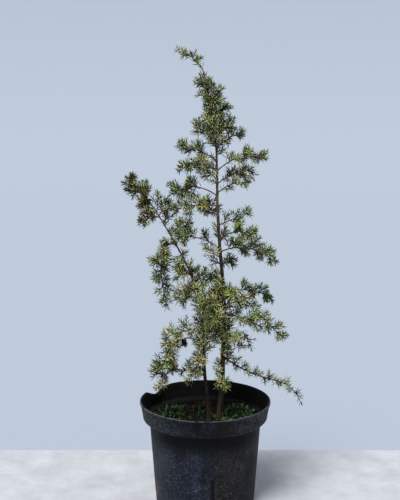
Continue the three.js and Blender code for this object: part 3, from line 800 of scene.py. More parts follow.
def pot_material():
    """Black plastic with dust, scuffs, scratches and a stain, laid on in this order, and painted light: a
    bluish painted reflection and a painted light on the left, painted shade in the front flute, a painted
    shadow under the band, a painted highlight on the rim lip, and darker towards the bottom.
    """
    material = new_material("pot_plastic", srgb(20, 23, 29), 0.6, 0.13)
    weave = Weaver(material)
    across, height = weave.axis("X"), weave.axis("Z")
    front = weave.zone(weave.axis("Y"), -40, -50)
    right = weave.zone(across, -6, 22)
    clouds = weave.noise(26.0, 6.0, 0.65)
    specks = weave.noise(430.0, 3.0, 0.8)
    grains = weave.noise(900.0, 3.0, 0.8)
    streaks = weave.noise(55.0, 5.0, 0.7, weave.stretched((1.0, 1.0, 0.3)))
    scuffs = weave.noise(170.0, 7.0, 0.8, weave.stretched((1.0, 1.0, 0.35)))
    smudges = weave.noise(75.0, 7.0, 0.75)
    chafed_and_painted_highlight = weave.noise(120.0, 5.0, 0.7)
    dust = weave.times(weave.mask(specks, 0.44, 0.64), weave.mask(streaks, 0.3, 0.6), 0.62)
    # Dust colour: bluish on the left as a painted reflection, neutral on the right.
    dust_colour_with_painted_reflection = weave.mix(right, srgb(68, 78, 96), srgb(68, 67, 70))
    band = weave.times(weave.zone(height, 121, 124), 0.72)
    outer = weave.zone(weave.maths("ABSOLUTE", across), 20, 70)
    # Where the painted shadow under the band falls, and how strong it is across the pot: weaker on the far
    # left.
    under = weave.times(weave.zone(height, 86, 110), weave.zone(height, 124.5, 122.5))
    shaded = weave.maths("ADD", weave.times(weave.zone(across, -76, -56), 0.6), 0.33)
    rim = weave.zone(height, POT_HEIGHT - 1.6, POT_HEIGHT - 0.5)
    # Base colour: bluish on the left as a painted reflection, brownish on the right.
    weave.coat(weave.mix(right, srgb(12, 19, 33), srgb(19, 17, 18)), [
        (weave.mask(clouds, 0.42, 0.66), srgb(4, 6, 11)),
        (dust, dust_colour_with_painted_reflection),
        (weave.times(weave.mask(grains, 0.54, 0.68), 0.45), srgb(92, 96, 104)),
        # Painted light: the left side of the pot made paler, as lit from the left.
        (weave.times(weave.zone(across, -30, -75), 0.22), srgb(70, 78, 88)),
        (weave.times(weave.mask(specks, 0.44, 0.3), 0.7), srgb(3, 4, 7)),
        (weave.times(weave.mask(scuffs, 0.6, 0.7), 0.5), srgb(104, 106, 108)),
        (pot_scratches(weave), srgb(122, 128, 132)),
        (pot_lines(weave, across, height, front), srgb(128, 138, 146)),
        # Painted shade in the front flute.
        (pot_flute_painted_shade(weave, across, height, front), srgb(3, 4, 9)),
        (pot_stain(weave, across, height), srgb(86, 73, 58)),
        (band, srgb(4, 4, 8)),
        (weave.times(weave.mask(smudges, 0.48, 0.66), band, 0.5), srgb(66, 70, 78)),
        (weave.times(weave.mask(specks, 0.5, 0.64), outer, band), srgb(84, 92, 102)),
        # Painted shadow under the band.
        (weave.times(under, shaded), srgb(1, 1, 4)),
        (weave.times(weave.zone(height, 20, 0), 0.45), srgb(10, 10, 13)),
        # Pale rim lip: wear, with a painted highlight along the top.
        (weave.times(rim, weave.mask(chafed_and_painted_highlight, 0.36, 0.6), 0.6), srgb(100, 106, 106)),
    ])
    weave.feed(weave.last["Roughness"], weave.ramp(clouds, POT_ROUGHNESS))
    weave.bump(specks, 0.3, 0.7)
    return material


def pot_scratches(weave):
    """Fine pale scratches all over, in two directions."""
    thin = 0.0
    for scale, stretch, value, width in POT_SCRATCHES:
        lines = weave.noise(scale, 2.0, 0.5, weave.stretched(stretch))
        off = weave.maths("ABSOLUTE", weave.maths("SUBTRACT", lines, value))
        thin = weave.maths("MAXIMUM", thin, weave.mask(off, width, 0.001))
    return weave.times(thin, weave.mask(weave.noise(95.0, 3.0, 0.6), 0.52, 0.6), 0.3)


def pot_lines(weave, across, height, front):
    """The few longer scratches on the front, each a thin broken line between two places."""
    lines = 0.0
    for x0, z0, x1, z1, width in POT_LINES:
        long = math.hypot(x1 - x0, z1 - z0)
        east, north = (x1 - x0) / long, (z1 - z0) / long
        right = weave.maths("SUBTRACT", across, (x0 + x1) / 2 * MM)
        over = weave.maths("SUBTRACT", height, (z0 + z1) / 2 * MM)
        along = weave.maths("ADD", weave.times(right, east), weave.times(over, north))
        off = weave.maths("SUBTRACT", weave.times(over, east), weave.times(right, north))
        ends = weave.zone(weave.maths("ABSOLUTE", along), long / 2, long / 3)
        thin = weave.zone(weave.maths("ABSOLUTE", off), width, 0)
        lines = weave.maths("MAXIMUM", lines, weave.times(thin, ends))
    broken = weave.mask(weave.noise(260.0, 4.0, 0.7), 0.4, 0.56)
    return weave.times(lines, broken, front, 0.45)


def pot_flute_painted_shade(weave, across, height, front):
    """Painted shade in the upright flute of the front."""
    sides = weave.times(weave.zone(across, 6.8, 8.2), weave.zone(across, 13.6, 12.2))
    return weave.times(sides, weave.zone(height, SEAM_TOP, SEAM_TOP - 5), front, 0.85)


def pot_stain(weave, across, height):
    """A dull orange-brown stain low on the left."""
    left = weave.zone(across, -58, -68)
    low = weave.times(weave.zone(height, 48, 30), weave.zone(height, 6, 16))
    patchy = weave.mask(weave.noise(140.0, 5.0, 0.7), 0.4, 0.62)
    return weave.times(left, low, patchy, 0.75)


# Camera, light and stage

def add_camera():
    data = bpy.data.cameras.new("front_camera")
    data.lens = CAMERA_LENS
    data.sensor_width = CAMERA_SENSOR
    data.clip_start, data.clip_end = (end * MM for end in CAMERA_CLIP)
    camera = put("front_camera", data)
    camera.location = Vector(CAMERA_PLACE) * MM
    camera.rotation_euler = (math.radians(90 - CAMERA_PITCH), 0, 0)
    bpy.context.scene.camera = camera


def add_sun(name, turn, power, spread, colour):
    """A broad soft light from far away; turn is its azimuth and height in degrees."""
    data = bpy.data.lights.new(name, "SUN")
    data.energy = power
    data.angle = math.radians(spread)
    data.color = colour
    lamp = put(name, data)
    place = Vector(toward(*turn))
    lamp.location = place * SUN_DISTANCE * MM
    lamp.rotation_euler = place.to_track_quat("Z", "Y").to_euler()


def add_light():
    for name, sun in SUNS.items():
        add_sun(name, *sun)
    world = bpy.data.worlds.new("studio")
    world.use_nodes = True
    sky = Weaver(world, "Background", "Generated")
    sky.feed(sky.last["Color"], sky.ramp(sky.axis("Z"), SKY_STOPS))
    sky.feed(sky.last["Strength"], SKY_POWER)
    bpy.context.scene.world = world
    bpy.context.scene.view_settings.view_transform = "Standard"


def add_stage():
    """A pale floor that sweeps up far behind into a backdrop that glows a little."""
    bend = arc(STAGE_BACK, SWEEP_RADIUS, SWEEP_RADIUS, -90, 0, SWEEP_STEPS)
    profile = [(STAGE_FRONT, 0), (FLOOR_EDGE, 0), *bend, (bend[-1][0], STAGE_HEIGHT)]
    points = [(x, y, z) for y, z in profile for x in (-STAGE_HALF_WIDTH, STAGE_HALF_WIDTH)]
    rows = np.arange(len(profile) - 1) * 2
    faces = np.stack([rows, rows + 1, rows + 3, rows + 2], -1)
    store = Store()
    store.add(np.array(points), faces, np.minimum(rows, 1))
    stops = [(0.3, srgb(170, 173, 180)), (0.7, srgb(200, 203, 210))]
    grey = srgb(214, 216, 222)
    floor = mottled_material("stage_floor", grey, (0.9, 0.1), (16.0, 6.0, 0.7), stops)
    glow = {"Emission Color": srgb(166, 176, 190), "Emission Strength": 1.0}
    wall = new_material("stage_wall", srgb(90, 96, 104), 0.95, 0.0, **glow)
    store.make("stage", [floor, wall])


# Pot, soil and moss

def pot_profile():
    """Radius and height from the middle of the underside, up the outside and down the inside."""
    base, shoulder, foot, rim = BASE_RADIUS, SHOULDER_RADIUS, BAND_FOOT_RADIUS, RIM_RADIUS
    ledge, band, top = SHOULDER_HEIGHT, BAND_STRAIGHT_FROM, POT_HEIGHT
    return np.array([
        (0.0, FLOOR_LIFT), (56.0, FLOOR_LIFT), (60.0, 0.0), (base - 1.2, 0.0),
        *arc(base - 1.2, 1.2, 1.2, -80, 0, 4),
        *straight((base + 0.15, 3), (shoulder - 0.1, ledge - 1), 40),
        (shoulder + 0.6, ledge - 0.2),
        *straight((shoulder + 2, ledge), (foot - 4, ledge), 3),
        *arc(foot - 4, ledge + 4, 4, -78, 0, 7),
        *straight((foot + 0.3, band), (rim - 1.3, top - 4.2), 10),
        *arc(rim - 1.3, top - 2.9, 1.3, -75, 0, 4),
        *arc(rim - 1.0, top - 1.0, 1.0, 0, 100, 6),
        (rim - 2.6, top - 0.5), (rim - 3.0, top - 3.0),
        *straight((rim - 3.4, top - 5), (foot - WALL - 0.6, band), 8),
        *arc(foot - WALL - 3.2, ledge + 4.6, 2.6, 0, -85, 5),
        (shoulder - WALL + 1.4, ledge + 1.8), (shoulder - WALL, ledge),
        *straight((shoulder - WALL - 0.3, 119), (base - WALL, 4), 8),
        (base - WALL - 2, FLOOR_LIFT + WALL), (0.0, FLOOR_LIFT + WALL),
    ])


def dent(points, azimuth):
    """The pressed-in stretch of the rim at the back left, with a sharp kink at its left end."""
    away = azimuth - DENT_AZIMUTH
    band = smoothstep(points[:, 2], BAND_FOOT_HEIGHT, POT_HEIGHT)
    share = bell(away / np.where(away > 0, *DENT_SPREAD)) * band
    kink = bell((azimuth - KINK_AZIMUTH) / KINK_SPREAD) * band
    points[:, :2] *= (1 - share * DENT_DEPTH / RIM_RADIUS)[:, None]
    points[:, 2] -= share * DENT_DROP - kink * KINK_RISE


def add_pot():
    profile = pot_profile()
    top = int(np.argmax(profile[:, 1]))
    radius, height = profile[:, :1], np.repeat(profile[:, 1:], POT_STEPS, 1)
    points = np.stack([*polar(radius, full_turn(POT_STEPS)), height], -1).reshape(-1, 3)
    height = points[:, 2]
    away = np.hypot(points[:, 0], points[:, 1])
    azimuth = np.degrees(np.arctan2(points[:, 1], points[:, 0]))
    outside = (np.arange(len(points)) < top * POT_STEPS) & (away > SEAM_BEYOND)
    seam = bell((azimuth - SEAM_AZIMUTH) / SEAM_SPREAD, 4)
    seam = seam * smoothstep(height, SEAM_TOP, SEAM_TOP - SEAM_FADE)
    wave = sum(depth * np.sin(np.radians(azimuth * times + start)) for depth, times, start in POT_WAVES)
    flank = smoothstep(height, *FLANK_FOOT) * smoothstep(height, *FLANK_TOP)
    push = wave * flank - np.where(outside, seam * SEAM_DEPTH, 0)
    points[:, :2] *= (1 + push / np.maximum(away, 1))[:, None]
    dent(points, azimuth)
    slot_turn = 360 / SLOT_COUNT
    from_slot = np.radians(np.abs((azimuth % slot_turn) - slot_turn / 2)) * BASE_RADIUS
    opened = (from_slot < SLOT_HALF_WIDTH) & (away > SLOTS_BEYOND) & (height < SLOT_HEIGHT)
    points[opened, 2] = SLOT_HEIGHT
    rings = len(profile) - 1
    faces = np.stack(ring_walls(rings, POT_STEPS), -1).reshape(-1, 4)
    store = Store()
    store.add(points, faces, np.repeat(np.arange(rings) > top, POT_STEPS))
    settle(store.make("nursery_pot", [pot_material(), pot_inside_material()]), "pot", ["pot"])


def swellings(x, y, rows):
    """Round swellings, from rows of X, Y, height and spread."""
    return sum(
        height * np.exp(-((x - mx) ** 2 + (y - my) ** 2) / spread ** 2) for mx, my, height, spread in rows
    )


def lumps(x, y, rows):
    """Small lumps, from rows of height, width and seed."""
    level = np.stack([x, y, np.zeros_like(x)], -1)
    return sum(height * rough(level, width, seed) for height, width, seed in rows)


def soil_height(x, y):
    """Height of the solid's soil, which is level round the stems."""
    long, wide, short = SOIL_WAVELENGTHS
    wave = SOIL_WAVE * (np.sin(x / long + 1) * np.cos(y / wide) + SOIL_RIPPLE * np.sin((x - y) / short))
    level = np.ones_like(x, dtype=float)
    for stem in STEMS.values():
        _, foot_x, foot_y = stem.rows[0]
        away = np.hypot(x - foot_x, y - foot_y)
        level = np.minimum(level, smoothstep(away, FOOT_FLAT, FOOT_FLAT + FOOT_BLEND))
    return SOIL_TOP + level * (wave + swellings(x, y, MOSS))


def soil_surface(x, y):
    """Height of the dressed soil: the swellings, with lumps of their own."""
    return soil_height(x, y) + lumps(x, y, SOIL_LUMPS)


def scatter(rng, count, radius):
    """Points spread evenly over a disc."""
    away = radius * np.sqrt(rng.random(count))
    return polar(away, rng.random(count) * 2 * math.pi)


def turned(rng, shapes):
    """Each shape of an array (shapes, points, 3) turned at random."""
    spin = rng.normal(size=(len(shapes), 4))
    w, x, y, z = (spin / np.linalg.norm(spin, axis=1, keepdims=True)).T
    turns = np.array([
        [1 - 2 * (y * y + z * z), 2 * (x * y - z * w), 2 * (x * z + y * w)],
        [2 * (x * y + z * w), 1 - 2 * (x * x + z * z), 2 * (y * z - x * w)],
        [2 * (x * z - y * w), 2 * (y * z + x * w), 1 - 2 * (x * x + y * y)],
    ]).transpose(2, 0, 1)
    return np.einsum("nij,npj->npi", turns, shapes)


OCTAHEDRON = np.array([(1, 0, 0), (0, 1, 0), (-1, 0, 0), (0, -1, 0), (0, 0, 1), (0, 0, -1)], float)
OCTAHEDRON_FACES = np.array([
    (0, 1, 4), (1, 2, 4), (2, 3, 4), (3, 0, 4), (1, 0, 5), (2, 1, 5), (3, 2, 5), (0, 3, 5),
])


def add_crumbs(name, rng, count, sizes, stretch, material):
    """Irregular bits of bark, peat and grit that lie half sunk in the soil."""
    x, y = scatter(rng, count, SOIL_RADIUS - 2)
    size = lerp(*sizes, rng.random(count) ** 2)
    shapes = OCTAHEDRON * drawn(CRUMB_CORNERS, rng.random((count, 6, 1)))
    shapes = shapes * np.array([stretch, 1.0, CRUMB_THICK])
    shapes = turned(rng, shapes) * size[:, None, None] / 2
    shapes += np.stack([x, y, soil_surface(x, y) + CRUMB_RAISED * size], -1)[:, None]
    store = Store()
    store.add_many(shapes, OCTAHEDRON_FACES)
    settle(store.make(name, [material], smooth=False), "soil")


def add_soil():
    away = np.linspace(0, 1, SOIL_RINGS + 1)[1:] * SOIL_RADIUS
    x, y = (side.ravel() for side in polar(away[:, None], full_turn(SOIL_STEPS)))
    top = np.stack([x, y, soil_surface(x, y)], -1)
    under = top[-SOIL_STEPS:].copy()
    under[:, 2] = SOIL_TOP - SOIL_DEPTH
    middle = soil_surface(np.zeros(1), np.zeros(1))[0]
    points = np.vstack([top, under, [[0, 0, middle], [0, 0, SOIL_TOP - SOIL_DEPTH]]])
    hub, floor = len(points) - 2, len(points) - 1
    ring = np.arange(SOIL_STEPS)
    after = (ring + 1) % SOIL_STEPS
    last = SOIL_RINGS * SOIL_STEPS
    a, b, c, d = ring_walls(SOIL_RINGS, SOIL_STEPS)
    caps = [(hub, ring, after), (floor, last + after, last + ring)]
    store = Store()
    store.add(points, triangles((a, d, c), (a, c, b), *caps))
    settle(store.make("soil_bed", [soil_material(*PEAT)]), "soil", ["soil"])
    rng = np.random.default_rng(SOIL_SEED)
    for name, (count, sizes, stretch, material) in CRUMBS.items():
        add_crumbs(name, rng, count, sizes, stretch, soil_material(*material))


def moss_cover(x, y):
    """From 0 on bare soil to 1 in the middle of a cushion of moss."""
    return swellings(x, y, MOSS_PATCHES) + lumps(x, y, MOSS_LUMPS)


def add_moss(name, rng, tried, height, least, colours):
    """Upright shoots with rows of tiny pointed leaves."""
    x, y = scatter(rng, tried, SOIL_RADIUS - 1)
    kept = moss_cover(x, y) > least + MOSS_EDGE * rng.random(tried)
    ground = soil_surface(x, y)
    store = Store()
    for place in np.flatnonzero(kept):
        size = height * drawn(MOSS_SIZES, rng.random())
        foot = np.array([x[place], y[place], ground[place] - MOSS_SUNK])
        lean = unit(np.array([*rng.normal(scale=MOSS_LEAN, size=2), 1.0]))
        points = foot + lean * size * np.linspace(0, 1, MOSS_POINTS)[:, None]
        moss = Twig(points, np.linspace(*MOSS_RADII, MOSS_POINTS), None, MOSS_WHORL, MOSS_BARE, place)
        foot, heading, upper, length, _ = needle_rows(moss, rng)
        needle_mesh(store, foot, heading, upper, length * MOSS_LEAF / NEEDLE_LENGTH, MOSS_LEAF_WIDTH)
    materials = [new_material(f"{name}_{n}", colour, 0.65, 0.3) for n, colour in enumerate(colours)]
    settle(store.make(name, materials, smooth=False), "soil")


def dress_soil():
    rng = np.random.default_rng(MOSS_SEED)
    for name, kind in MOSS_KINDS.items():
        add_moss(name, rng, *kind)


# Limbs

class Stem:
    """A stem through its rows, with a taper and a flare at its foot."""

    def __init__(self, rows, foot, tip, flare):
        self.rows, self.foot, self.tip, self.flare = rows, foot, tip, flare
        self.top = rows[-1][0]

    def slope(self, k, column):
        low, high = self.rows[max(k - 1, 0)], self.rows[min(k + 1, len(self.rows) - 1)]
        return (high[column] - low[column]) / (high[0] - low[0])

    def value(self, height, column):
        """Smooth value of one column of the rows at a height."""
        rows = self.rows
        i = 0
        while i < len(rows) - 2 and rows[i + 1][0] < height:
            i += 1
        start, end = rows[i], rows[i + 1]
        span = end[0] - start[0]
        t = (height - start[0]) / span
        leaves, arrives = self.slope(i, column), self.slope(i + 1, column)
        return ((1 + 2 * t) * (1 - t) ** 2 * start[column] + t * (1 - t) ** 2 * span * leaves
                + t * t * (3 - 2 * t) * end[column] - t * t * (1 - t) * span * arrives)

    def point(self, height):
        return np.array([self.value(height, 1), self.value(height, 2), height + SOIL_TOP])

    def radius(self, height):
        return lerp(self.foot, self.tip, height / self.top) + self.flare * math.exp(-height / FLARE_HEIGHT)

    def row(self, heights):
        """Points and radii at heights, of which some may be under the soil."""
        points = np.array([self.point(height) for height in heights])
        return points, np.array([self.radius(max(height, 0)) for height in heights])


STEMS = {name: Stem(**values) for name, values in STEM_TABLE.items()}


class Branch:
    """An arching branch: out along its azimuth, up by its rise, with a bow, a hook and a nod."""
    hook = nod = 0

    def __init__(self, row, seed, root, radius):
        vars(self).update(zip(BRANCH_COLUMNS, row))
        self.seed, self.root, self.radius = seed, root, radius
        self.out = self.reach * toward(self.azimuth)
        self.length = gaps(self.point(np.linspace(0, 1, LENGTH_POINTS))).sum()

    def point(self, t):
        t = np.asarray(t, float)[..., None]
        climb = self.rise * t + 4 * self.bow * t * (1 - t) - self.nod * t ** NOD_POWER
        return self.root + self.out * (t + self.hook * t * (1 - t)) + UP * climb

    def frame(self, t):
        """Place and forward, side and cross directions at a share of the branch."""
        forward = unit(self.point(t + STEP_AHEAD) - self.point(t))
        side = square_to(forward, first_side(forward))
        return self.point(t), forward, side, np.cross(forward, side)


def plant_branches():
    """All branches, each with its root on the limb that carries it."""
    made = {}
    for seed, row in enumerate(BRANCH_ROWS, 1):
        name, carrier, height = row[:3]
        if carrier in made:
            bough = made[carrier]
            share = bough.bare / bough.length
            root = bough.point(share)
            radius = lerp(bough.radius, TWIG_TIP_RADIUS, share) * TIP_BRANCH_SHARE
        elif height == "tip":
            stem = STEMS[carrier]
            root, radius = stem.point(stem.top), stem.tip * TIP_BRANCH_SHARE
        else:
            stem = STEMS[carrier]
            root = stem.point(height)
            radius = min(max(stem.radius(height) * BOUGH_SHARE, BOUGH_RADIUS[0]), BOUGH_RADIUS[1])
        made[name] = Branch(row, seed, root, radius)
    return made


def bark_relief(points, radii, count, seed, knots):
    """Stringy ridges that run along a limb, with a swelling where each branch leaves it."""
    _, sides, crosses = frames_along(points)
    turns = full_turn(count)
    rows = []
    for point, radius, side, cross, gone in zip(points, radii, sides, crosses, lengths_along(points)):
        strings = 0
        for weight, times, along, step in BARK_RIDGES:
            spots = np.column_stack([*polar(times, turns), np.full(count, gone * along)])
            strings = strings + weight * rough(spots, 1.0, seed + step)
        spokes = around(side, cross, turns[:, None])
        swelling = np.zeros(count)
        for knot, heading, size in knots:
            away = np.linalg.norm(knot - point)
            if away < KNOT_REACH:
                facing = np.clip(spokes @ heading, 0, 1) ** 2
                swelling += size * (KNOT_BACK + facing) * math.exp(-((away / KNOT_WIDTH) ** 2))
        rows.append(strings * BARK_RELIEF * min(1.0, radius / BARK_FULL_RADIUS) + swelling)
    return np.array(rows)


def add_limb(node, points, radii, sides, seed, bark, knots=()):
    """The bark of one stem or bough, in the place of its node."""
    store = Store()
    store.add(*tube(points, radii, sides, bark_relief(points, radii, sides, seed, knots)))
    settle(store.make(f"bark_{node}", [bark]), "bark", [node])


def add_stems(branches):
    bark = bark_material("stem_bark")
    for number, (name, stem) in enumerate(STEMS.items()):
        heights = np.arange(-STEM_SUNK, stem.top + BARK_STEP, BARK_STEP)
        heights[-1] = stem.top
        knots = [
            (branch.root, unit(branch.point(KNOT_AHEAD) - branch.root), KNOT_SIZE * branch.radius)
            for branch in branches.values() if branch.carrier == name and branch.height != "tip"
        ]
        add_limb(f"stem_{name}", *stem.row(heights), BARK_SIDES, number * STEM_SEED, bark, knots)


def wood_row(branch, start, end, step):
    """Points and radii of a branch's wood between two shares of its length."""
    count = max(3, round((end - start) * branch.length / step))
    shares = np.linspace(start, end, count + 1)
    collar = 1 + COLLAR * np.exp(-shares * branch.length / COLLAR_LENGTH)
    return branch.point(shares), lerp(branch.radius, TWIG_TIP_RADIUS, shares) * collar


def add_boughs(branches):
    bark = bark_material("bough_bark")
    for branch in branches.values():
        if branch.bare >= BOUGH_LENGTH and branch.name != "dead_twig":
            row = wood_row(branch, 0, branch.bare / branch.length + BOUGH_OVERLAP, BOUGH_STEP)
            add_limb(f"bough_{branch.name}", *row, BOUGH_SIDES, branch.seed * BOUGH_SEED, bark)


# Foliage

class Twig:
    """One needle-bearing length of wood, with the tint of its spray."""

    def __init__(self, points, radii, tint, whorl, bare, first):
        self.points, self.radii, self.tint = points, radii, tint
        self.whorl, self.bare, self.first = whorl, bare, first


def draw_tint(mood, value):
    shares = MOODS[mood]
    total = sum(shares.values())
    for tint, share in shares.items():
        value -= share / total
        if value <= 0:
            return tint
    return list(shares)[-1]


def mood_of(branch, share=0.0):
    """The mood of a branch at a share of its shoots."""
    if share > LUSH_FROM.get(branch.name, 1):
        return "lush"
    for mood, names in MOOD_BRANCHES.items():
        if branch.name in names:
            return mood
    return "upper" if branch.root[2] > SOIL_TOP + UPPER_FROM else "side"


def stem_mood(height):
    low, high = HEART_HEIGHTS
    return "heart" if low < height < high else "side" if height < UPPER_STEM_FROM else "upper"


def swell(u):
    return math.sin(math.pi * lerp(*SWELL, u)) ** SWELL_POWER


def shoot(form, root, direction, length, seed, tint, first, whorl=WHORL_SHOOT):
    """A shoot: straight out with a lifted tip, and a little sway of its own."""
    pieces, sway, radii, bare = SHOOT_FORMS[form]
    pieces = pieces or max(3, round(length / SHOOT_PIECE))
    t = np.linspace(0, 1, pieces + 1)[:, None]
    points = root + direction * length * t + UP * SHOOT_LIFT * length * t * t
    points = points + level_side(direction) * sway * length * (chance(seed, DRAW_SWAY) - 0.5) * t * t
    return Twig(points, np.linspace(*radii, pieces + 1), tint, whorl, bare, first)


def twiglets(points, direction, size, tint, mood, rng):
    """Finer twigs round a shoot, each a little shorter than what is left of it."""
    if size < TWIGLET_LEAST:
        return
    normal = level_side(direction)
    lift = unit(np.cross(normal, direction))
    count = max(2, round(size / TWIGLET_SPACING))
    turn = rng.random() * math.pi
    for n in range(count):
        share = lerp(*TWIGLET_SHARES, n / (count - 1))
        row = share * (len(points) - 1)
        low = int(row)
        root = lerp(points[low], points[low + 1], row - low)
        angle = turn + math.radians(SHOOT_TURN) * n
        spoke = normal * math.cos(angle) + lift * math.sin(angle)
        heading = unit(direction * TWIGLET_AHEAD + spoke * drawn(TWIGLET_SPREADS, rng.random()))
        length = size * (1 - share) * TWIGLET_SIZE + TWIGLET_EXTRA
        length = length * drawn(TWIGLET_SIZES, rng.random())
        own = tint if rng.random() < TWIGLET_KEEPS_TINT else draw_tint(mood, rng.random())
        yield shoot("twiglet", root, heading, length, n, own, n)


def spray(form, root, direction, size, seed, first, mood, rng):
    """A shoot in a tint of its mood, with its finer twigs if it is alive."""
    tint = draw_tint(mood, rng.random())
    if mood == "dead":
        yield shoot(form, root, direction, size, seed, tint, first, WHORL_DEAD)
        return
    middle = shoot(form, root, direction, size, seed, tint, first)
    yield middle
    yield from twiglets(middle.points, direction, size, tint, mood, rng)


def side_shoots(branch, rng):
    """The shoots of the solid, with finer ones between them."""
    start = branch.bare / branch.length + SHOOT_FIRST / branch.length
    end = 1 - TIP_NEEDLES / branch.length
    count = max(SHOOTS_LEAST, round((end - start) * branch.length / SHOOT_SPACING))
    steps = 1 + SHOOTS_BETWEEN + (branch.name in DENSE)
    for j in range(steps * count):
        if branch.name in SPARSE and j % SPARSE_EVERY == 1:
            continue
        k = j / steps
        fine = j % steps > 0
        u = (k + SHOOT_ROOT_SHARE) / count
        point, forward, side, cross = branch.frame(lerp(start, end, u))
        turn = math.radians(SHOOT_TURN * k + 360 * chance(branch.seed, DRAW_TURN))
        draw = DRAW_FINE + j if fine else k
        tilt = SHOOT_INCLINE_SPREAD * (chance(branch.seed, DRAW_INCLINE + draw) - 0.5)
        incline = math.radians(SHOOT_INCLINE + tilt)
        spoke = side * math.cos(turn) + cross * math.sin(turn)
        direction = spoke * math.sin(incline) + forward * math.cos(incline)
        size = branch.shoot * swell(u) * lerp(*SHOOT_SIZES, chance(branch.seed, DRAW_SIZE + draw))
        size = (size * (FINE_SIZE if fine else 1) + SHOOT_EXTRA) * TRIMMED.get(branch.name, 1)
        yield from spray("side", point, direction, size, branch.seed + j, 0, mood_of(branch, u), rng)


def stem_shoots(rng):
    """The short shoots of the stems, turned by the same angle as the shoots of the masses."""
    for row, (name, low, high, spacing, length, start, end) in enumerate(STEM_SHOOTS):
        for n, height in enumerate(np.arange(low, high, spacing)):
            share = (SHOOT_TURN * n / 360 + chance(row, DRAW_TURN)) % 1
            incline = math.radians(SHOOT_INCLINE + SHOOT_INCLINE_SPREAD * (rng.random() - 0.5))
            level = toward(lerp(start, end, share))
            direction = level * math.sin(incline) + UP * math.cos(incline)
            size = length * lerp(*STEM_SHOOT_SIZES, rng.random())
            root = STEMS[name].point(height)
            yield from spray("stem", root, direction, size, n + row, n, stem_mood(height), rng)


def lone_shoots(branches, rng):
    """Shoots with a place of their own, each with its finer twigs."""
    rows = [(carrier, *place) for carrier, *places in LONE_SHOOTS for place in places]
    for n, (carrier, place, azimuth, climb, length) in enumerate(rows):
        if carrier in STEMS:
            root, mood = STEMS[carrier].point(place), stem_mood(place)
        else:
            root, mood = branches[carrier].point(place), mood_of(branches[carrier], place)
        yield from spray("lone", root, toward(azimuth, climb), length, n + 0.5, n, mood, rng)


def dead_clump(branches, rng):
    """A tight dark knot of dead needles that hangs on a low branch."""
    name, share, size = DEAD_CLUMP
    root = branches[name].point(share)
    for n in range(DEAD_CLUMP_SHOOTS):
        direction = unit(DEAD_HANG + DEAD_SPREAD * rng.normal(size=3))
        length = size * drawn(DEAD_SIZES, rng.random())
        yield shoot("clump", root, direction, length, n, "dark", n, WHORL_CLUMP)


def mass_twigs(branch, rng):
    """All the needle-bearing wood of one mass: its own wood first, then its side shoots."""
    bare = branch.bare / branch.length
    begins, leafless = (bare, 0) if branch.bare >= BOUGH_LENGTH else (0, bare)
    points, radii = wood_row(branch, begins, 1, WOOD_STEP)
    mood = mood_of(branch)
    whorl = WHORL_DEAD if mood == "dead" else WHORL_STEM
    tint = draw_tint(mood, rng.random())
    return [Twig(points, radii, tint, whorl, leafless, 0), *side_shoots(branch, rng)]


def needle_rows(twig, rng):
    """Foot, heading, upper normal and length of a twig's needles, and which are at its tip."""
    forwards, sides, _ = frames_along(twig.points)
    gone = lengths_along(twig.points)
    total = gone[-1]
    apart = twig.whorl * CLOSENESS.get(twig.tint, 1)
    places = np.arange(total * twig.bare + FIRST_WHORL, total + LAST_WHORL, apart)
    if len(places) == 0:
        places = np.array([total])
    index = np.clip(np.searchsorted(gone, places), 1, len(gone) - 1)
    share = np.clip((places - gone[index - 1]) / (gone[index] - gone[index - 1]), 0, 1)[:, None]
    centre = lerp(twig.points[index - 1], twig.points[index], share)
    forward = unit(lerp(forwards[index - 1], forwards[index], share))
    side = unit(sides[index] - forward * np.sum(sides[index] * forward, 1)[:, None])
    cross = np.cross(forward, side)
    radius = np.interp(places, gone, twig.radii)
    shape = (len(places), WHORL_NEEDLES)
    order = np.arange(len(places))[:, None] + twig.first
    angle = np.radians(WHORL_TURN * order + 360 // WHORL_NEEDLES * np.arange(WHORL_NEEDLES))
    angle = angle + rng.normal(scale=TURN_SPREAD, size=shape)
    near_tip = smoothstep(total - places, TIP_CLOSES, 0.0)[:, None]
    tilt = rng.normal(scale=INCLINE_SPREAD, size=shape)
    incline = np.radians(lerp(*NEEDLE_INCLINE, near_tip) + tilt)[..., None]
    spoke = around(side[:, None], cross[:, None], angle[..., None])
    ahead = forward[:, None]
    heading = unit(spoke * np.sin(incline) + ahead * np.cos(incline) + UP * NEEDLE_LIFT)
    upper = unit(ahead - heading * np.sum(ahead * heading, -1)[..., None])
    usual = NEEDLE_LENGTHS.get(twig.tint, NEEDLE_LENGTH)
    along = (places / total)[:, None]
    length = usual * (1 - TIP_SHORTER * near_tip) * drawn(NEEDLE_SIZES, rng.random(shape))
    length = length * (1 - END_SHORTER * along)
    foot = centre[:, None] + spoke * radius[:, None, None] * NEEDLE_SUNK
    at_tip = np.repeat(total - places < TIP_SPRAY, WHORL_NEEDLES)
    return foot.reshape(-1, 3), heading.reshape(-1, 3), upper.reshape(-1, 3), length.ravel(), at_tip


# Corners of a needle: 0 the foot, 1 to 3 the keel, right and left at its widest, 4 the point
NEEDLE_FACES = np.array([(0, 3, 2), (4, 2, 3), (0, 2, 1), (0, 1, 3), (4, 1, 2), (4, 3, 1)])
NEEDLE_SLOTS = np.array([1, 1, 0, 0, 0, 0])


def needle_mesh(store, foot, heading, upper, length, width=NEEDLE_WIDTH):
    length = length[:, None]
    wide = foot + heading * length * NEEDLE_WIDEST
    keel = wide - upper * width * NEEDLE_KEEL
    half = np.cross(heading, upper) * width / 2
    point = foot + heading * length + upper * length * NEEDLE_CURVE
    shapes = np.stack([foot, keel, wide + half, wide - half, point], 1)
    store.add_many(shapes, NEEDLE_FACES, NEEDLE_SLOTS)


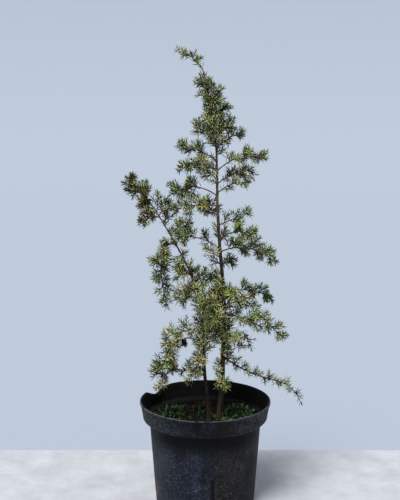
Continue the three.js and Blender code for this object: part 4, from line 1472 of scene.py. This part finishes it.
def limb_rows(branches):
    """Straight lengths of the stems and boughs: both ends and the radius."""
    limbs = [stem.row(np.linspace(0, stem.top, LIMB_POINTS)) for stem in STEMS.values()]
    for branch in branches.values():
        if branch.bare >= BOUGH_LENGTH:
            limbs.append(wood_row(branch, 0, branch.bare / branch.length, LIMB_STEP))
    return [row for points, radii in limbs for row in zip(points, points[1:], radii)]


def clear_of_limbs(foot, heading, length, limbs):
    """True for each needle whose outer part keeps out of every limb, the soil and the pot's wall."""
    clear = np.ones(len(foot), bool)
    for share in CLEAR_SHARES:
        spots = foot + heading * (length * share)[:, None]
        for a, b, radius in limbs:
            line = b - a
            t = np.clip((spots - a) @ line / line.dot(line), 0, 1)
            clear &= np.linalg.norm(spots - a - t[:, None] * line, axis=1) > radius + CLEAR_GAP
        x, y, z = spots.T
        away = np.hypot(x, y)
        buried = (away < SOIL_RADIUS) & (z < soil_height(x, y) + GROUND_GAP)
        over_wall = (away >= SOIL_RADIUS) & (away < RIM_RADIUS + GROUND_GAP)
        walled = over_wall & (z < POT_HEIGHT + GROUND_GAP)
        clear &= ~(buried | walled)
    return clear


def all_twigs(branches, rng):
    """Every twig of the plant, with the kind of its wood."""
    for branch in branches.values():
        kind = {"dead": "dead", "heart": "warm"}.get(mood_of(branch), "young")
        first, *others = mass_twigs(branch, rng)
        yield "dead" if kind == "dead" else "old", first
        yield from ((kind, twig) for twig in others)
    yield from (("warm", twig) for twig in stem_shoots(rng))
    yield from (("young", twig) for twig in lone_shoots(branches, rng))
    yield from (("dead", twig) for twig in dead_clump(branches, rng))


def add_foliage(branches):
    rng = np.random.default_rng(FOLIAGE_SEED)
    limbs = limb_rows(branches)
    masses = [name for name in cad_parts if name.startswith("foliage_")]
    wood = {kind: Store() for kind in TWIG_WOOD}
    needles = {tint: [] for tint in TINTS}
    for kind, twig in list(all_twigs(branches, rng)):
        kind = "young" if twig.tint == "lush" else kind
        wood[kind].add(*tube(twig.points, twig.radii, TWIG_WOOD[kind][2]))
        *row, at_tip = needle_rows(twig, rng)
        ripe = at_tip & (twig.tint not in UNTIPPED) & (rng.random() < TIP_SHARE)
        needles[twig.tint].append([values[~ripe] for values in row])
        needles["tip"].append([values[ripe] for values in row])
    for tint, rows in needles.items():
        foot, heading, upper, length = (np.concatenate(column) for column in zip(*rows))
        clear = clear_of_limbs(foot, heading, length, limbs)
        store = Store()
        needle_mesh(store, foot[clear], heading[clear], upper[clear], length[clear])
        green, band = TINTS[tint]
        materials = [
            new_material(f"needle_{tint}", green, *GREEN_FINISH),
            new_material(f"needle_band_{tint}", band, *BAND_FINISH),
        ]
        slot, nodes = ("dead", ["dead_twig"]) if tint in DEAD_TINTS else ("needles", masses)
        settle(store.make(f"needles_{tint}", materials, smooth=False), slot, nodes)
    for kind, (name, bark, _) in TWIG_WOOD.items():
        material = bark_material(bark) if bark in BARKS else new_material(bark, *SHOOT_BARKS[bark])
        slot, nodes = ("dead", ["dead_twig"]) if kind == "dead" else ("bark", masses)
        settle(wood[kind].make(name, [material]), slot, nodes)


add_camera()
add_light()
add_stage()
add_pot()
add_soil()
dress_soil()
juniper = plant_branches()
add_stems(juniper)
add_boughs(juniper)
add_foliage(juniper)
